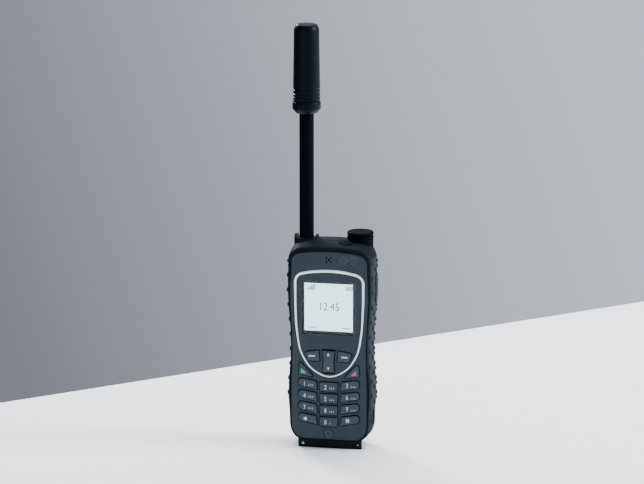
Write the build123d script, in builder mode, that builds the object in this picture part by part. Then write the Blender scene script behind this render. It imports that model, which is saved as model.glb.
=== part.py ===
from build123d import *
import os
from math import cos, radians, sin, sqrt

# Handheld satellite telephone, standing upright on its base adapter. Millimetres.
# +X is the viewer's right, +Y the back, +Z up; the origin is under the middle of the base.

# ---------------------------------------------------------------- driving dimensions
# Housing hull: one section per station, from the front face to the back face.
FRONT_Y = -14.2
BACK_Y = 13.6
HULL_TOP = 141.8
HULL_BOTTOM = 5.2
BOTTOM_CORNER_WIDTH = 10.5
BOTTOM_CORNER_HEIGHT = 14.0
TOP_CROWN_RADIUS = 170.0
# share of the depth, drop of the top, lift of the bottom, inset of the sides, upper corner
HULL_STATIONS = [
    (0.000, 4.7, 0.9, 2.60, 8.5),
    (0.025, 3.7, 0.3, 2.20, 8.9),
    (0.085, 2.8, 0.0, 1.90, 9.5),
    (0.187, 1.7, 0.0, 1.45, 10.3),
    (0.403, 0.2, 0.0, 1.00, 11.6),
    (0.619, 0.0, 0.0, 1.00, 12.0),
    (0.799, 0.9, 0.3, 2.10, 12.0),
    (0.906, 2.9, 1.3, 3.60, 11.6),
    (0.978, 6.5, 3.6, 6.60, 10.8),
    (1.000, 10.6, 7.0, 10.00, 10.0),
]
# Height and half-width of the waisted side, between the two corners.
SIDE_STATIONS = [
    (106.0, 30.2), (93.0, 29.5), (84.0, 28.7), (73.0, 28.3), (60.0, 28.5), (48.0, 29.5), (36.0, 29.9),
]
SIDE_TOP_HALF = 29.9
SIDE_BOTTOM_HALF = 29.2

WALL = 2.0
SPLIT_Y = -4.6
GASKET = 0.4
GRIP_THICKNESS = 1.0
GRIP_FRONT_Y = -12.1
GRIP_BACK_Y = 10.5
GRIP_BOTTOM_Z = 27.5
GRIP_TOP_Z = 131.0

# Front panel, flush in the bumper rim.
PANEL_Y = -14.0
PANEL_THICKNESS = 1.8
PANEL_TOP = 135.4
PANEL_BOTTOM = 6.4
PANEL_CORNER = 6.6
PANEL_BOTTOM_CORNER = 9.5
PANEL_BOTTOM_CORNER_HEIGHT = 13.0
PANEL_CROWN_RADIUS = 125.0
PANEL_SIDES = [(105.0, 26.5), (90.0, 25.9), (72.0, 25.1), (40.0, 25.8)]
PANEL_TOP_HALF = 25.7
PANEL_BOTTOM_HALF = 25.8
PANEL_GAP = 0.3
LEDGE = 1.8

# Display and the bright ring round it.
DISPLAY_WIDTH = 35.0
DISPLAY_HEIGHT = 34.3
DISPLAY_Z = 97.05
WINDOW_BORDER = 1.0
WINDOW_THICKNESS = 1.5
RING_TOP = 122.2
RING_BOTTOM = 50.0
RING_HALF = 23.05
RING_BAND = 1.5
RING_DEPTH = 0.5
RING_PROUD = 0.35
RING_CROWN_RADIUS = 82.0

# Keys.
KEY_TRAVEL = 0.6
KEY_PROUD = 0.5
KEY_FLANGE = 0.35
KEY_FLANGE_THICKNESS = 0.8
KEY_GAP = 0.3
OPENING_BEVEL = 0.25
KEY_ROW_PITCH = 8.08
KEY_TOP_ROW_Z = 46.2
KEY_HEIGHT = 6.6
KEY_RUN = 0.1

# Electronics stack, each level measured back from the panel's back face.
MAT_THICKNESS = 0.4
DOME_THICKNESS = 0.4
BOARD_THICKNESS = 1.2
CAN_HEIGHT = 1.5
FRAME_THICKNESS = 1.6

# Antenna.
MAST_X = -18.8
MAST_Y = 3.5
MAST_RADIUS = 4.85
MAST_BORE = 3.6
MAST_FIT = 0.07
STOP_FLANGE = 0.2
STOP_HEIGHT = 1.5
PIVOT_Z = 135.4
KNUCKLE_RADIUS = 6.4
KNUCKLE_HALF = 6.3
FORK_HALF = 7.9
FORK_DEPTH_HALF = 7.8
FORK_CORNER = 5.2
FORK_GAP = 0.15
FORK_LIP_Z = 142.2
FORK_LIP_SAG = 0.6
FORK_LIP_RADIUS = 32.0
FORK_EAR_HALF = 2.7
FORK_TOP_Z = 143.4
PIVOT_PIN = 1.6
PIVOT_FIT = 0.06
WELL_WALL = 0.5
WELL_FIT = 0.15
COLLAR_BOTTOM_Z = 225.2
COLLAR_RADIUS = 9.5
COLLAR_NOSE_RADIUS = 7.2
COLLAR_HEIGHT = 8.0
RADOME_TOP_Z = 285.0
RADOME_RADIUS = 8.95
RADOME_TOP_RADIUS = 8.35
RADOME_WALL = 1.3
STOW_GAP = 0.4

# Emergency button under a flip cap on the top right corner.
CAP_X = 17.7
CAP_Y = 3.5
CAP_RADIUS = 8.9
CAP_TOP_Z = 146.65
CAP_THICKNESS = 4.0
CAP_GROOVE_Z = 144.2
CAP_GROOVE_DEPTH = 0.8
CAP_NOTCH_REACH = 10.4
CAP_NOTCH_TURN = 240.0
CAP_NOTCH_RADIUS = 4.2
CAP_NOTCH_BOTTOM_Z = 139.5
CAP_NOTCH_TOP_Z = 144.0
CAP_GAP = 0.35
BOSS_BOTTOM_Z = 131.5
CAP_PIVOT_Y = 13.3
CAP_PIVOT_RADIUS = 1.5
CAP_LUG_RADIUS = 1.25
CAP_PIN = 0.6
CAP_PIN_FIT = 0.05
EMERGENCY_RADIUS = 5.4
EMERGENCY_TRAVEL = 0.8

# Power key on the sloping front of the top.
POWER_X = 9.9
POWER_Y = -7.3
POWER_LENGTH = 9.4
POWER_WIDTH = 5.0
POWER_PROUD = 1.05
POWER_DEPTH = 3.5
POWER_TILT = 18.0
POWER_DROP = 2.2

# Side keys and the cover of the side socket.
SIDE_KEY_Y = 0.6
SIDE_KEY_WIDTH = 6.4
SIDE_KEY_PROUD = 0.6
SIDE_KEY_DEPTH = 3.6
VOLUME_Z = 109.1
VOLUME_LENGTH = 20.8
TALK_Z = 101.0
TALK_LENGTH = 26.0
COVER_Z = 21.2
COVER_HEIGHT = 10.4
COVER_FRONT_Y = -3.0
COVER_LENGTH = 9.0
COVER_PIVOT_X = 28.2
COVER_SWEEP_RADIUS = 2.4
COVER_INNER_X = 26.3
COVER_GAP = 0.3
COVER_PIN = 0.4

# Battery pack in its bay in the back.
BATTERY_WIDTH = 32.8
BATTERY_X = 5.1
BATTERY_BOTTOM_Z = 27.0
BATTERY_HEIGHT = 63.0
BATTERY_FRONT_Y = 3.5
BATTERY_GAP = 0.2
BAY_WALL = 1.2
LATCH_WIDTH = 14.0
LATCH_HEIGHT = 6.0
LATCH_THICKNESS = 2.2
LATCH_TRAVEL = 2.0

# Base adapter.
BASE_WIDTH = 44.6
BASE_BACK_WIDTH = 34.6
BASE_DEPTH = 24.6
BASE_FRONT_CORNER = 2.0
BASE_BACK_CORNER = 4.5
BASE_CENTRE_Y = -0.3
CONNECTOR_WIDTH = 18.0
CONNECTOR_HEIGHT = 5.2
CONNECTOR_Y = -1.5

# Screws.
SCREW_RADIUS = 1.0
SCREW_HEAD = 2.1
SCREW_HEAD_HEIGHT = 1.6
SCREW_PLACES = [(17.0, 124.0), (-3.0, 124.0), (16.0, 11.6), (-16.0, 11.6)]

# ---------------------------------------------------------------- levels worked out
PANEL_BACK_Y = PANEL_Y + PANEL_THICKNESS
KEY_FRONT_Y = PANEL_Y - KEY_PROUD
FLANGE_FRONT_Y = PANEL_BACK_Y + KEY_RUN
FLANGE_BACK_Y = FLANGE_FRONT_Y + KEY_FLANGE_THICKNESS
MAT_Y = FLANGE_BACK_Y + KEY_TRAVEL + KEY_RUN
DOME_Y = MAT_Y + MAT_THICKNESS
BOARD_Y = DOME_Y + DOME_THICKNESS
BOARD_BACK_Y = BOARD_Y + BOARD_THICKNESS
CAN_BACK_Y = BOARD_BACK_Y + CAN_HEIGHT
FRAME_Y = CAN_BACK_Y + KEY_RUN
FRAME_BACK_Y = FRAME_Y + FRAME_THICKNESS
CAP_BOTTOM_Z = CAP_TOP_Z - CAP_THICKNESS
BOSS_TOP_Z = CAP_BOTTOM_Z - CAP_GAP
MAST_FOOT_Z = PIVOT_Z - 3.8
STOW_TRAVEL = COLLAR_BOTTOM_Z - FORK_TOP_Z - STOW_GAP
FORK_BASE_Z = PIVOT_Z - KNUCKLE_RADIUS - 1.6
WELL_FLOOR_Z = MAST_FOOT_Z - STOW_TRAVEL - 1.0


def front_plane(y):
    """Plane facing the front at depth y; its local x and y are X and Z, and it extrudes forwards."""
    return Plane.XZ.offset(-y)


def write(builder, name):
    """Label a finished piece and write it to its own file."""
    builder.part.label = name
    export_step(builder.part, "parts/" + name + ".step")


def rounded_outline(top, bottom, top_half, sides, bottom_half, corner, foot, crown_radius):
    """Closed waisted outline: crowned top, soft upper corners, splined sides, long lower corners."""
    foot_width, foot_height = foot
    flat = top_half - corner
    sag = crown_radius - sqrt(crown_radius**2 - flat**2)
    slope_x = sqrt(crown_radius**2 - flat**2) / crown_radius
    slope_z = flat / crown_radius
    shoulder = (flat, top - sag)
    side_top = top - sag - corner
    side_bottom = bottom + foot_height
    pull = 0.56 * corner
    low_pull = 0.68
    with BuildSketch() as face:
        with BuildLine():
            Bezier(
                shoulder,
                (flat + pull * slope_x, top - sag - pull * slope_z),
                (top_half, side_top + pull),
                (top_half, side_top),
            )
            points = [(top_half, side_top)]
            points += [(half, z) for z, half in sides]
            points += [(bottom_half, side_bottom)]
            Spline(points, tangents=[(0, -1), (0, -1)])
            Bezier(
                (bottom_half, side_bottom),
                (bottom_half, side_bottom - low_pull * foot_height),
                (bottom_half - (1 - low_pull) * foot_width, bottom),
                (bottom_half - foot_width, bottom),
            )
            mirror(about=Plane.YZ)
            ThreePointArc((-flat, top - sag), (0, top), shoulder)
            Line((bottom_half - foot_width, bottom), (foot_width - bottom_half, bottom))
        make_face()
    return face.sketch


def hull(inset):
    """The housing's outer form, or the same form a wall further in."""
    depth = BACK_Y - FRONT_Y
    faces = []
    for share, drop, lift, narrow, corner in HULL_STATIONS:
        y = FRONT_Y + inset + share * (depth - 2 * inset)
        shift = narrow + inset
        face = rounded_outline(
            HULL_TOP - drop - inset,
            HULL_BOTTOM + lift + inset,
            SIDE_TOP_HALF - shift,
            [(z, half - shift) for z, half in SIDE_STATIONS],
            SIDE_BOTTOM_HALF - shift,
            corner - 0.6 * inset,
            (BOTTOM_CORNER_WIDTH - 0.6 * inset, BOTTOM_CORNER_HEIGHT),
            TOP_CROWN_RADIUS,
        )
        faces.append(front_plane(y) * face)
    with BuildPart() as form:
        loft(faces)
    return form.part


def panel_outline(inset):
    """The front panel's outline, or the same outline further in."""
    return rounded_outline(
        PANEL_TOP - inset,
        PANEL_BOTTOM + inset,
        PANEL_TOP_HALF - inset,
        [(z, half - inset) for z, half in PANEL_SIDES],
        PANEL_BOTTOM_HALF - inset,
        PANEL_CORNER - 0.6 * inset,
        (PANEL_BOTTOM_CORNER - 0.6 * inset, PANEL_BOTTOM_CORNER_HEIGHT),
        PANEL_CROWN_RADIUS,
    )


def slab(sketch, front, back):
    """A flat sketch carried from one depth to another."""
    with BuildPart() as piece:
        with BuildSketch(front_plane(back)):
            add(sketch)
        extrude(amount=back - front)
    return piece.part


def block(x0, x1, y0, y1, z0, z1):
    """A plain block between two corners."""
    centre = ((x0 + x1) / 2, (y0 + y1) / 2, (z0 + z1) / 2)
    return Pos(*centre) * Box(x1 - x0, y1 - y0, z1 - z0, mode=Mode.PRIVATE)


def post(x, y, z0, z1, radius):
    """An upright cylinder."""
    return Pos(x, y, (z0 + z1) / 2) * Cylinder(radius, z1 - z0, mode=Mode.PRIVATE)


def across(x0, x1, y, z, radius):
    """A cylinder lying along X."""
    return Pos((x0 + x1) / 2, y, z) * Rot(0, 90, 0) * Cylinder(radius, x1 - x0, mode=Mode.PRIVATE)


def rearward(x, z, y0, y1, radius):
    """A cylinder lying along Y."""
    return Pos(x, (y0 + y1) / 2, z) * Rot(90, 0, 0) * Cylinder(radius, y1 - y0, mode=Mode.PRIVATE)


def stadium_slot(side, z, length, width, x0, x1):
    """A round-ended bar through one side wall, along X."""
    with BuildPart() as bar:
        with BuildSketch(Plane.YZ.offset(x0)):
            with Locations((SIDE_KEY_Y, z)):
                SlotOverall(length, width, rotation=90)
        extrude(amount=x1 - x0)
    return bar.part if side > 0 else bar.part.mirror(Plane.YZ)


# ---------------------------------------------------------------- shared forms
outer_form = hull(0)
inner_form = hull(WALL)
grip_floor = hull(GRIP_THICKNESS)
key_form = hull(-SIDE_KEY_PROUD)

volume_slot = stadium_slot(1, VOLUME_Z, VOLUME_LENGTH + 2 * KEY_GAP, SIDE_KEY_WIDTH + 2 * KEY_GAP, 20, 34)
talk_slot = stadium_slot(-1, TALK_Z, TALK_LENGTH + 2 * KEY_GAP, SIDE_KEY_WIDTH + 2 * KEY_GAP, 20, 34)

boss_seat = post(CAP_X, CAP_Y, BOSS_BOTTOM_Z, HULL_TOP + 10, CAP_RADIUS - 0.15)
cap_lug_seat = block(CAP_X - 6, CAP_X + 6, CAP_Y, BACK_Y + 3, CAP_BOTTOM_Z - 6.5, HULL_TOP + 10)



def fork_post(low, high):
    """The fork's rounded plan carried from one height to another."""
    with BuildPart() as form:
        with BuildSketch(Plane.XY.offset(low)):
            with Locations((MAST_X, MAST_Y)):
                RectangleRounded(2 * FORK_HALF, 2 * FORK_DEPTH_HALF, FORK_CORNER)
        extrude(amount=high - low)
    return form.part


fork_seat = fork_post(FORK_BASE_Z, HULL_TOP + 10)
mast_clear = MAST_RADIUS + WELL_FIT + 0.3
fold_slot = block(
    MAST_X - KNUCKLE_HALF - FORK_GAP, MAST_X + KNUCKLE_HALF + FORK_GAP,
    MAST_Y, BACK_Y + 5, PIVOT_Z - mast_clear, HULL_TOP + 10,
)
well_outer = MAST_RADIUS + STOP_FLANGE + WELL_FIT + WELL_WALL

power_tilt = radians(POWER_TILT)
power_plane = Plane(
    origin=(POWER_X, POWER_Y, HULL_TOP - POWER_DROP),
    x_dir=(1, 0, 0),
    z_dir=(0, -sin(power_tilt), cos(power_tilt)),
)


def power_oval(margin, low, high):
    """The power key's oval bar, standing square to the sloping top."""
    with BuildPart() as bar:
        with BuildSketch(power_plane.offset(low)):
            Ellipse(POWER_LENGTH / 2 + margin, POWER_WIDTH / 2 + margin)
        extrude(amount=high - low)
    return bar.part


battery_left = BATTERY_X - BATTERY_WIDTH / 2
battery_right = BATTERY_X + BATTERY_WIDTH / 2
battery_top = BATTERY_BOTTOM_Z + BATTERY_HEIGHT
latch_bottom = battery_top + BATTERY_GAP


def bay(margin, y0, y1):
    """The battery bay's block, grown by a margin."""
    return block(
        battery_left - margin, battery_right + margin, y0, y1,
        BATTERY_BOTTOM_Z - margin, battery_top + margin,
    )


cover_seat = (
    block(COVER_INNER_X - COVER_GAP, 34, COVER_FRONT_Y, COVER_FRONT_Y + COVER_LENGTH + COVER_GAP,
          COVER_Z - COVER_HEIGHT / 2 - COVER_GAP, COVER_Z + COVER_HEIGHT / 2 + COVER_GAP)
    + post(COVER_PIVOT_X, COVER_FRONT_Y, COVER_Z - COVER_HEIGHT / 2 - COVER_GAP,
           COVER_Z + COVER_HEIGHT / 2 + COVER_GAP, COVER_SWEEP_RADIUS)
)
notch_turn = radians(CAP_NOTCH_TURN)
finger_notch = post(
    CAP_X + CAP_NOTCH_REACH * cos(notch_turn), CAP_Y + CAP_NOTCH_REACH * sin(notch_turn),
    CAP_NOTCH_BOTTOM_Z, CAP_NOTCH_TOP_Z, CAP_NOTCH_RADIUS,
)
socket_seat = block(14, 30, COVER_FRONT_Y + 1.6, COVER_FRONT_Y + 7.4, COVER_Z - 3.6, COVER_Z + 3.6)


connector_block = block(
    -CONNECTOR_WIDTH / 2, CONNECTOR_WIDTH / 2, CONNECTOR_Y - 2, CONNECTOR_Y + 2,
    HULL_BOTTOM + 0.1, HULL_BOTTOM + CONNECTOR_HEIGHT,
)


# ---------------------------------------------------------------- key outlines
def polygon_key(corners, radii):
    """A key outline from its corners, each rounded by its own radius."""
    with BuildSketch() as face:
        with BuildLine():
            Polyline(*corners, close=True)
        make_face()
        for corner, radius in zip(corners, radii):
            spot = face.vertices().sort_by_distance((corner[0], corner[1], 0))[0]
            fillet(spot, radius)
    return face.sketch


def number_keys():
    """Outlines of the twelve number keys: bowed rows of three."""
    names = [["1", "2", "3"], ["4", "5", "6"], ["7", "8", "9"], ["star", "0", "hash"]]
    found = {}
    for row, labels in enumerate(names):
        z = KEY_TOP_ROW_Z - row * KEY_ROW_PITCH
        outer = [(-21.0, z + 2.6), (-8.7, z + 0.5), (-7.7, z - 5.8), (-21.0, z - 2.9)]
        middle = [(-6.6, z), (6.2, z), (5.7, z - KEY_HEIGHT), (-6.1, z - KEY_HEIGHT)]
        inner = [(-x - 0.2, height) for x, height in reversed(outer)]
        found["key_" + labels[0]] = polygon_key(outer, [2.5, 0.5, 0.5, 2.5])
        found["key_" + labels[1]] = polygon_key(middle, [0.8, 0.8, 0.8, 0.8])
        found["key_" + labels[2]] = polygon_key(inner, [2.5, 0.5, 0.5, 2.5])
    return found


def call_keys():
    """Outlines of the call keys, the soft keys and the up-down key."""
    send = [(-20.0, 60.4), (-21.1, 50.9), (-10.0, 49.2)]
    end = [(-x - 0.2, z) for x, z in send]
    soft_left = [(-16.6, 66.6), (-6.7, 68.0), (-6.1, 60.4), (-14.2, 60.4)]
    soft_right = [(-x - 0.5, z) for x, z in soft_left]
    found = {
        "key_send": polygon_key(send, [1.1, 1.6, 0.5]),
        "key_end": polygon_key(end, [1.1, 1.6, 0.5]),
        "key_soft_left": polygon_key(soft_left, [1.6, 0.6, 0.6, 1.6]),
        "key_soft_right": polygon_key(soft_right, [1.6, 0.6, 0.6, 1.6]),
    }
    centre = -0.3
    with BuildSketch() as waisted:
        with BuildLine():
            Line((centre - 4.75, 68.5), (centre + 4.75, 68.5))
            ThreePointArc((centre + 4.75, 68.5), (centre + 3.6, 60.6), (centre + 4.45, 52.3))
            Line((centre + 4.45, 52.3), (centre - 4.45, 52.3))
            ThreePointArc((centre - 4.45, 52.3), (centre - 3.6, 60.6), (centre - 4.75, 68.5))
        make_face()
        fillet(waisted.vertices(), 0.9)
    found["key_navigation"] = waisted.sketch
    return found


key_faces = number_keys()
key_faces.update(call_keys())


def grown(sketch, margin):
    """A key outline with an even margin round it."""
    with BuildSketch() as face:
        add(sketch)
        offset(amount=margin, kind=Kind.INTERSECTION)
    return face.sketch


def ring_outline(sign):
    """One edge of the bright ring: the middle line moved out or in by half the band."""
    side = sign * RING_BAND / 2
    top = RING_TOP + 1.25 * side
    half = RING_HALF + side
    bottom = RING_BOTTOM - 0.75 * side
    flat = half - 4.6
    sag = RING_CROWN_RADIUS - sqrt(RING_CROWN_RADIUS**2 - flat**2)
    slope_x = sqrt(RING_CROWN_RADIUS**2 - flat**2) / RING_CROWN_RADIUS
    slope_z = flat / RING_CROWN_RADIUS
    side_top = top - sag - 6.2
    with BuildSketch() as face:
        with BuildLine():
            Bezier(
                (flat, top - sag),
                (flat + 2.9 * slope_x, top - sag - 2.9 * slope_z),
                (half, side_top + 3.4),
                (half, side_top),
            )
            Spline(
                [
                    (half, side_top),
                    (22.75 + side, 94.0),
                    (21.8 + side, 80.0),
                    (18.5 + 0.9 * side, 65.0 - 0.3 * side),
                    (11.5 + 0.65 * side, 55.0 - 0.65 * side),
                    (0, bottom),
                ],
                tangents=[(0, -1), (-1, 0)],
            )
            mirror(about=Plane.YZ)
            ThreePointArc((-flat, top - sag), (0, top), (flat, top - sag))
        make_face()
    return face.sketch


ring_outer = ring_outline(1)
ring_inner = ring_outline(-1)

mic_centre = (-0.3, 10.5)
earpiece_centre = (-0.3, 130.0)
status_places = [(9.8, 129.9), (16.1, 129.9)]

os.makedirs("parts", exist_ok=True)

# ---------------------------------------------------------------- front panel and display
with BuildPart() as front_panel:
    with BuildSketch(front_plane(PANEL_BACK_Y)):
        add(panel_outline(0))
    extrude(amount=PANEL_THICKNESS)
    fillet(front_panel.faces().sort_by(Axis.Y)[0].edges(), 0.3)
    with BuildSketch(front_plane(PANEL_BACK_Y)):
        with Locations((0, DISPLAY_Z)):
            RectangleRounded(DISPLAY_WIDTH + 2 * WINDOW_BORDER, DISPLAY_HEIGHT + 2 * WINDOW_BORDER, 1.2)
        for face in key_faces.values():
            add(grown(face, KEY_GAP))
        with Locations(status_places):
            Circle(2.2)
        with Locations(earpiece_centre):
            with GridLocations(3.2, 3.0, 2, 2):
                Circle(0.5)
            Circle(0.6)
    extrude(amount=PANEL_THICKNESS, mode=Mode.SUBTRACT)
    chamfer(front_panel.faces().sort_by(Axis.Y)[0].inner_wires().edges(), OPENING_BEVEL)
    with BuildSketch(front_plane(PANEL_Y + RING_DEPTH)):
        add(ring_outer)
        add(ring_inner, mode=Mode.SUBTRACT)
    extrude(amount=RING_DEPTH, mode=Mode.SUBTRACT)
    with BuildSketch(front_plane(PANEL_Y + 0.9)):
        with Locations(mic_centre):
            Circle(3.5)
    extrude(amount=2, mode=Mode.SUBTRACT)
    with BuildSketch(front_plane(PANEL_BACK_Y)):
        with Locations(mic_centre):
            Circle(2.0)
    extrude(amount=PANEL_THICKNESS, mode=Mode.SUBTRACT)
write(front_panel, "front_panel")

with BuildPart() as ring_trim:
    with BuildSketch(front_plane(PANEL_Y + RING_DEPTH)):
        add(ring_outer)
        add(ring_inner, mode=Mode.SUBTRACT)
    extrude(amount=RING_DEPTH + RING_PROUD)
write(ring_trim, "ring_trim")

with BuildPart() as display_window:
    with BuildSketch(front_plane(PANEL_Y + 0.1 + WINDOW_THICKNESS)):
        with Locations((0, DISPLAY_Z)):
            RectangleRounded(
                DISPLAY_WIDTH + 2 * WINDOW_BORDER - 0.1, DISPLAY_HEIGHT + 2 * WINDOW_BORDER - 0.1, 1.15
            )
    extrude(amount=WINDOW_THICKNESS)
write(display_window, "display_window")

with BuildPart() as lcd_module:
    with BuildSketch(front_plane(BOARD_Y - 0.1)):
        with Locations((0, DISPLAY_Z - 1)):
            RectangleRounded(DISPLAY_WIDTH + 5, DISPLAY_HEIGHT + 7, 1.0)
    extrude(amount=BOARD_Y - 0.1 - PANEL_BACK_Y)
write(lcd_module, "lcd_module")

with BuildPart() as status_windows:
    with BuildSketch(front_plane(PANEL_BACK_Y)):
        with Locations(status_places):
            Circle(2.15)
    extrude(amount=PANEL_THICKNESS - 0.25)
write(status_windows, "status_windows")

with BuildPart() as microphone_boss:
    with BuildSketch(front_plane(PANEL_Y + 0.9)):
        with Locations(mic_centre):
            Circle(3.15)
            Circle(0.65, mode=Mode.SUBTRACT)
    extrude(amount=1.15)
    fillet(microphone_boss.edges().filter_by(GeomType.CIRCLE).sort_by(Axis.Y)[:1], 0.25)
write(microphone_boss, "microphone_boss")

with BuildPart() as microphone:
    with BuildSketch(front_plane(BOARD_Y - 0.1)):
        with Locations(mic_centre):
            Circle(1.9)
    extrude(amount=BOARD_Y - 0.1 - PANEL_BACK_Y)
write(microphone, "microphone")

with BuildPart() as earpiece:
    with BuildSketch(front_plane(BOARD_Y - 0.1)):
        with Locations((earpiece_centre[0], earpiece_centre[1] - 3.2)):
            SlotOverall(15, 8)
    extrude(amount=BOARD_Y - 0.1 - PANEL_BACK_Y)
write(earpiece, "earpiece")

# ---------------------------------------------------------------- keys
for name, face in key_faces.items():
    with BuildPart() as key:
        with BuildSketch(front_plane(FLANGE_BACK_Y)):
            add(face)
        extrude(amount=FLANGE_BACK_Y - KEY_FRONT_Y)
        fillet(key.faces().sort_by(Axis.Y)[0].edges(), 0.3)
        with BuildSketch(front_plane(FLANGE_BACK_Y)):
            add(grown(face, KEY_FLANGE + KEY_GAP))
        extrude(amount=KEY_FLANGE_THICKNESS)
    write(key, name)

# ---------------------------------------------------------------- electronics
with BuildPart() as keypad_mat:
    with BuildSketch(front_plane(DOME_Y)):
        with Locations((0, 42.5)):
            RectangleRounded(45, 55, 3)
    extrude(amount=MAT_THICKNESS)
write(keypad_mat, "keypad_mat")

with BuildPart() as dome_sheet:
    with BuildSketch(front_plane(BOARD_Y)):
        with Locations((0, 42.5)):
            RectangleRounded(44, 54, 3)
    extrude(amount=DOME_THICKNESS)
write(dome_sheet, "dome_sheet")

board_top = 129.0
board_bottom = 8.6
with BuildPart() as main_board:
    with BuildSketch(front_plane(BOARD_BACK_Y)):
        with Locations((0, (board_top + board_bottom) / 2)):
            RectangleRounded(46, board_top - board_bottom, 5)
    extrude(amount=BOARD_THICKNESS)
write(main_board, "main_board")

with BuildPart() as shield_cans:
    with BuildSketch(front_plane(CAN_BACK_Y)):
        with Locations((-8, 106)):
            RectangleRounded(22, 26, 1)
        with Locations((12, 104)):
            RectangleRounded(14, 30, 1)
        with Locations((0, 60)):
            RectangleRounded(38, 40, 1)
        with Locations((-4, 25)):
            RectangleRounded(26, 18, 1)
    extrude(amount=CAN_HEIGHT)
write(shield_cans, "shield_cans")

frame_blank = slab(panel_outline(1.9), FRAME_Y, FRAME_BACK_Y)
frame_room = hull(WALL + 0.1)
with BuildPart() as inner_frame:
    add(frame_blank & frame_room)
    add(fork_seat, mode=Mode.SUBTRACT)
    add(boss_seat, mode=Mode.SUBTRACT)
    add(power_oval(0.8, -6, 6), mode=Mode.SUBTRACT)
    with BuildSketch(front_plane(FRAME_BACK_Y)):
        with Locations((-8, 106), (-8, 68), (-8, 32)):
            RectangleRounded(16, 22, 2)
        with Locations((12, 106), (12, 68), (12, 32)):
            RectangleRounded(14, 22, 2)
    extrude(amount=FRAME_THICKNESS, mode=Mode.SUBTRACT)
    for x, z in SCREW_PLACES:
        add(rearward(x, z, FRAME_Y, FRAME_BACK_Y, 2.6))
        add(rearward(x, z, FRAME_Y, FRAME_BACK_Y, SCREW_RADIUS), mode=Mode.SUBTRACT)
write(inner_frame, "inner_frame")

# ---------------------------------------------------------------- housing shells
grip_zone = block(20, 34, GRIP_FRONT_Y, GRIP_BACK_Y, GRIP_BOTTOM_Z, GRIP_TOP_Z)
grip_skin_right = (outer_form & grip_zone) - grip_floor
grip_skin_left = grip_skin_right.mirror(Plane.YZ)

with BuildPart() as front_housing:
    add(outer_form)
    add(block(-40, 40, SPLIT_Y - GASKET / 2, 30, -10, 160), mode=Mode.SUBTRACT)
    add(inner_form, mode=Mode.SUBTRACT)
    add(slab(panel_outline(-PANEL_GAP), FRONT_Y - 2, PANEL_BACK_Y), mode=Mode.SUBTRACT)
    add(slab(panel_outline(LEDGE), FRONT_Y - 2, PANEL_BACK_Y + 4), mode=Mode.SUBTRACT)
    add(grip_skin_right, mode=Mode.SUBTRACT)
    add(grip_skin_left, mode=Mode.SUBTRACT)
    add(fork_seat, mode=Mode.SUBTRACT)
    add(boss_seat, mode=Mode.SUBTRACT)
    add(power_oval(KEY_GAP, -8, 8), mode=Mode.SUBTRACT)
write(front_housing, "front_housing")

with BuildPart() as housing_gasket:
    add(hull(0.6))
    add(hull(WALL - 0.2), mode=Mode.SUBTRACT)
    add(block(-40, 40, SPLIT_Y + GASKET / 2, 30, -10, 160), mode=Mode.SUBTRACT)
    add(block(-40, 40, -30, SPLIT_Y - GASKET / 2, -10, 160), mode=Mode.SUBTRACT)
    add(fork_seat, mode=Mode.SUBTRACT)
    add(boss_seat, mode=Mode.SUBTRACT)
    add(grip_skin_right, mode=Mode.SUBTRACT)
    add(grip_skin_left, mode=Mode.SUBTRACT)
    add(power_oval(KEY_GAP, -8, 8), mode=Mode.SUBTRACT)
    add(cover_seat, mode=Mode.SUBTRACT)
write(housing_gasket, "housing_gasket")

speaker_x = 6.0
speaker_z = 113.0
bay_floor_y = BATTERY_FRONT_Y - 2.0
bay_cover = bay(BATTERY_GAP + BAY_WALL, bay_floor_y - BAY_WALL, 30)
latch_seat = block(
    BATTERY_X - LATCH_WIDTH / 2 - 0.2, BATTERY_X + LATCH_WIDTH / 2 + 0.2,
    BACK_Y - LATCH_THICKNESS - 0.2, BACK_Y + 5,
    latch_bottom - 0.2, latch_bottom + LATCH_HEIGHT + LATCH_TRAVEL + 0.2,
)
with BuildPart() as rear_housing:
    add(outer_form)
    add(block(-40, 40, -30, SPLIT_Y + GASKET / 2, -10, 160), mode=Mode.SUBTRACT)
    add(inner_form - bay_cover, mode=Mode.SUBTRACT)
    add(bay(BATTERY_GAP, bay_floor_y, 30), mode=Mode.SUBTRACT)
    for x, z in SCREW_PLACES:
        add(rearward(x, z, FRAME_BACK_Y, BACK_Y - 2, SCREW_HEAD + 0.8) & outer_form)
    for x, z in SCREW_PLACES:
        add(rearward(x, z, -10, BACK_Y, SCREW_RADIUS + 0.1), mode=Mode.SUBTRACT)
        head_y = BACK_Y - SCREW_HEAD_HEIGHT - 0.4
        add(rearward(x, z, head_y, BACK_Y + 2, SCREW_HEAD + 0.1), mode=Mode.SUBTRACT)
    add(grip_skin_right, mode=Mode.SUBTRACT)
    add(grip_skin_left, mode=Mode.SUBTRACT)
    add(fork_seat, mode=Mode.SUBTRACT)
    add(fold_slot, mode=Mode.SUBTRACT)
    add(boss_seat, mode=Mode.SUBTRACT)
    add(cap_lug_seat, mode=Mode.SUBTRACT)
    add(latch_seat, mode=Mode.SUBTRACT)
    add(volume_slot, mode=Mode.SUBTRACT)
    add(talk_slot, mode=Mode.SUBTRACT)
    add(cover_seat, mode=Mode.SUBTRACT)
    add(socket_seat, mode=Mode.SUBTRACT)
    add(power_oval(KEY_GAP, -8, 8), mode=Mode.SUBTRACT)
    add(connector_block, mode=Mode.SUBTRACT)
    with BuildSketch(front_plane(BACK_Y + 1)):
        with Locations((speaker_x, speaker_z)):
            with GridLocations(3.0, 2.4, 5, 4):
                SlotOverall(2.2, 1.0)
    extrude(amount=WALL + 3, mode=Mode.SUBTRACT)
write(rear_housing, "rear_housing")

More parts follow.
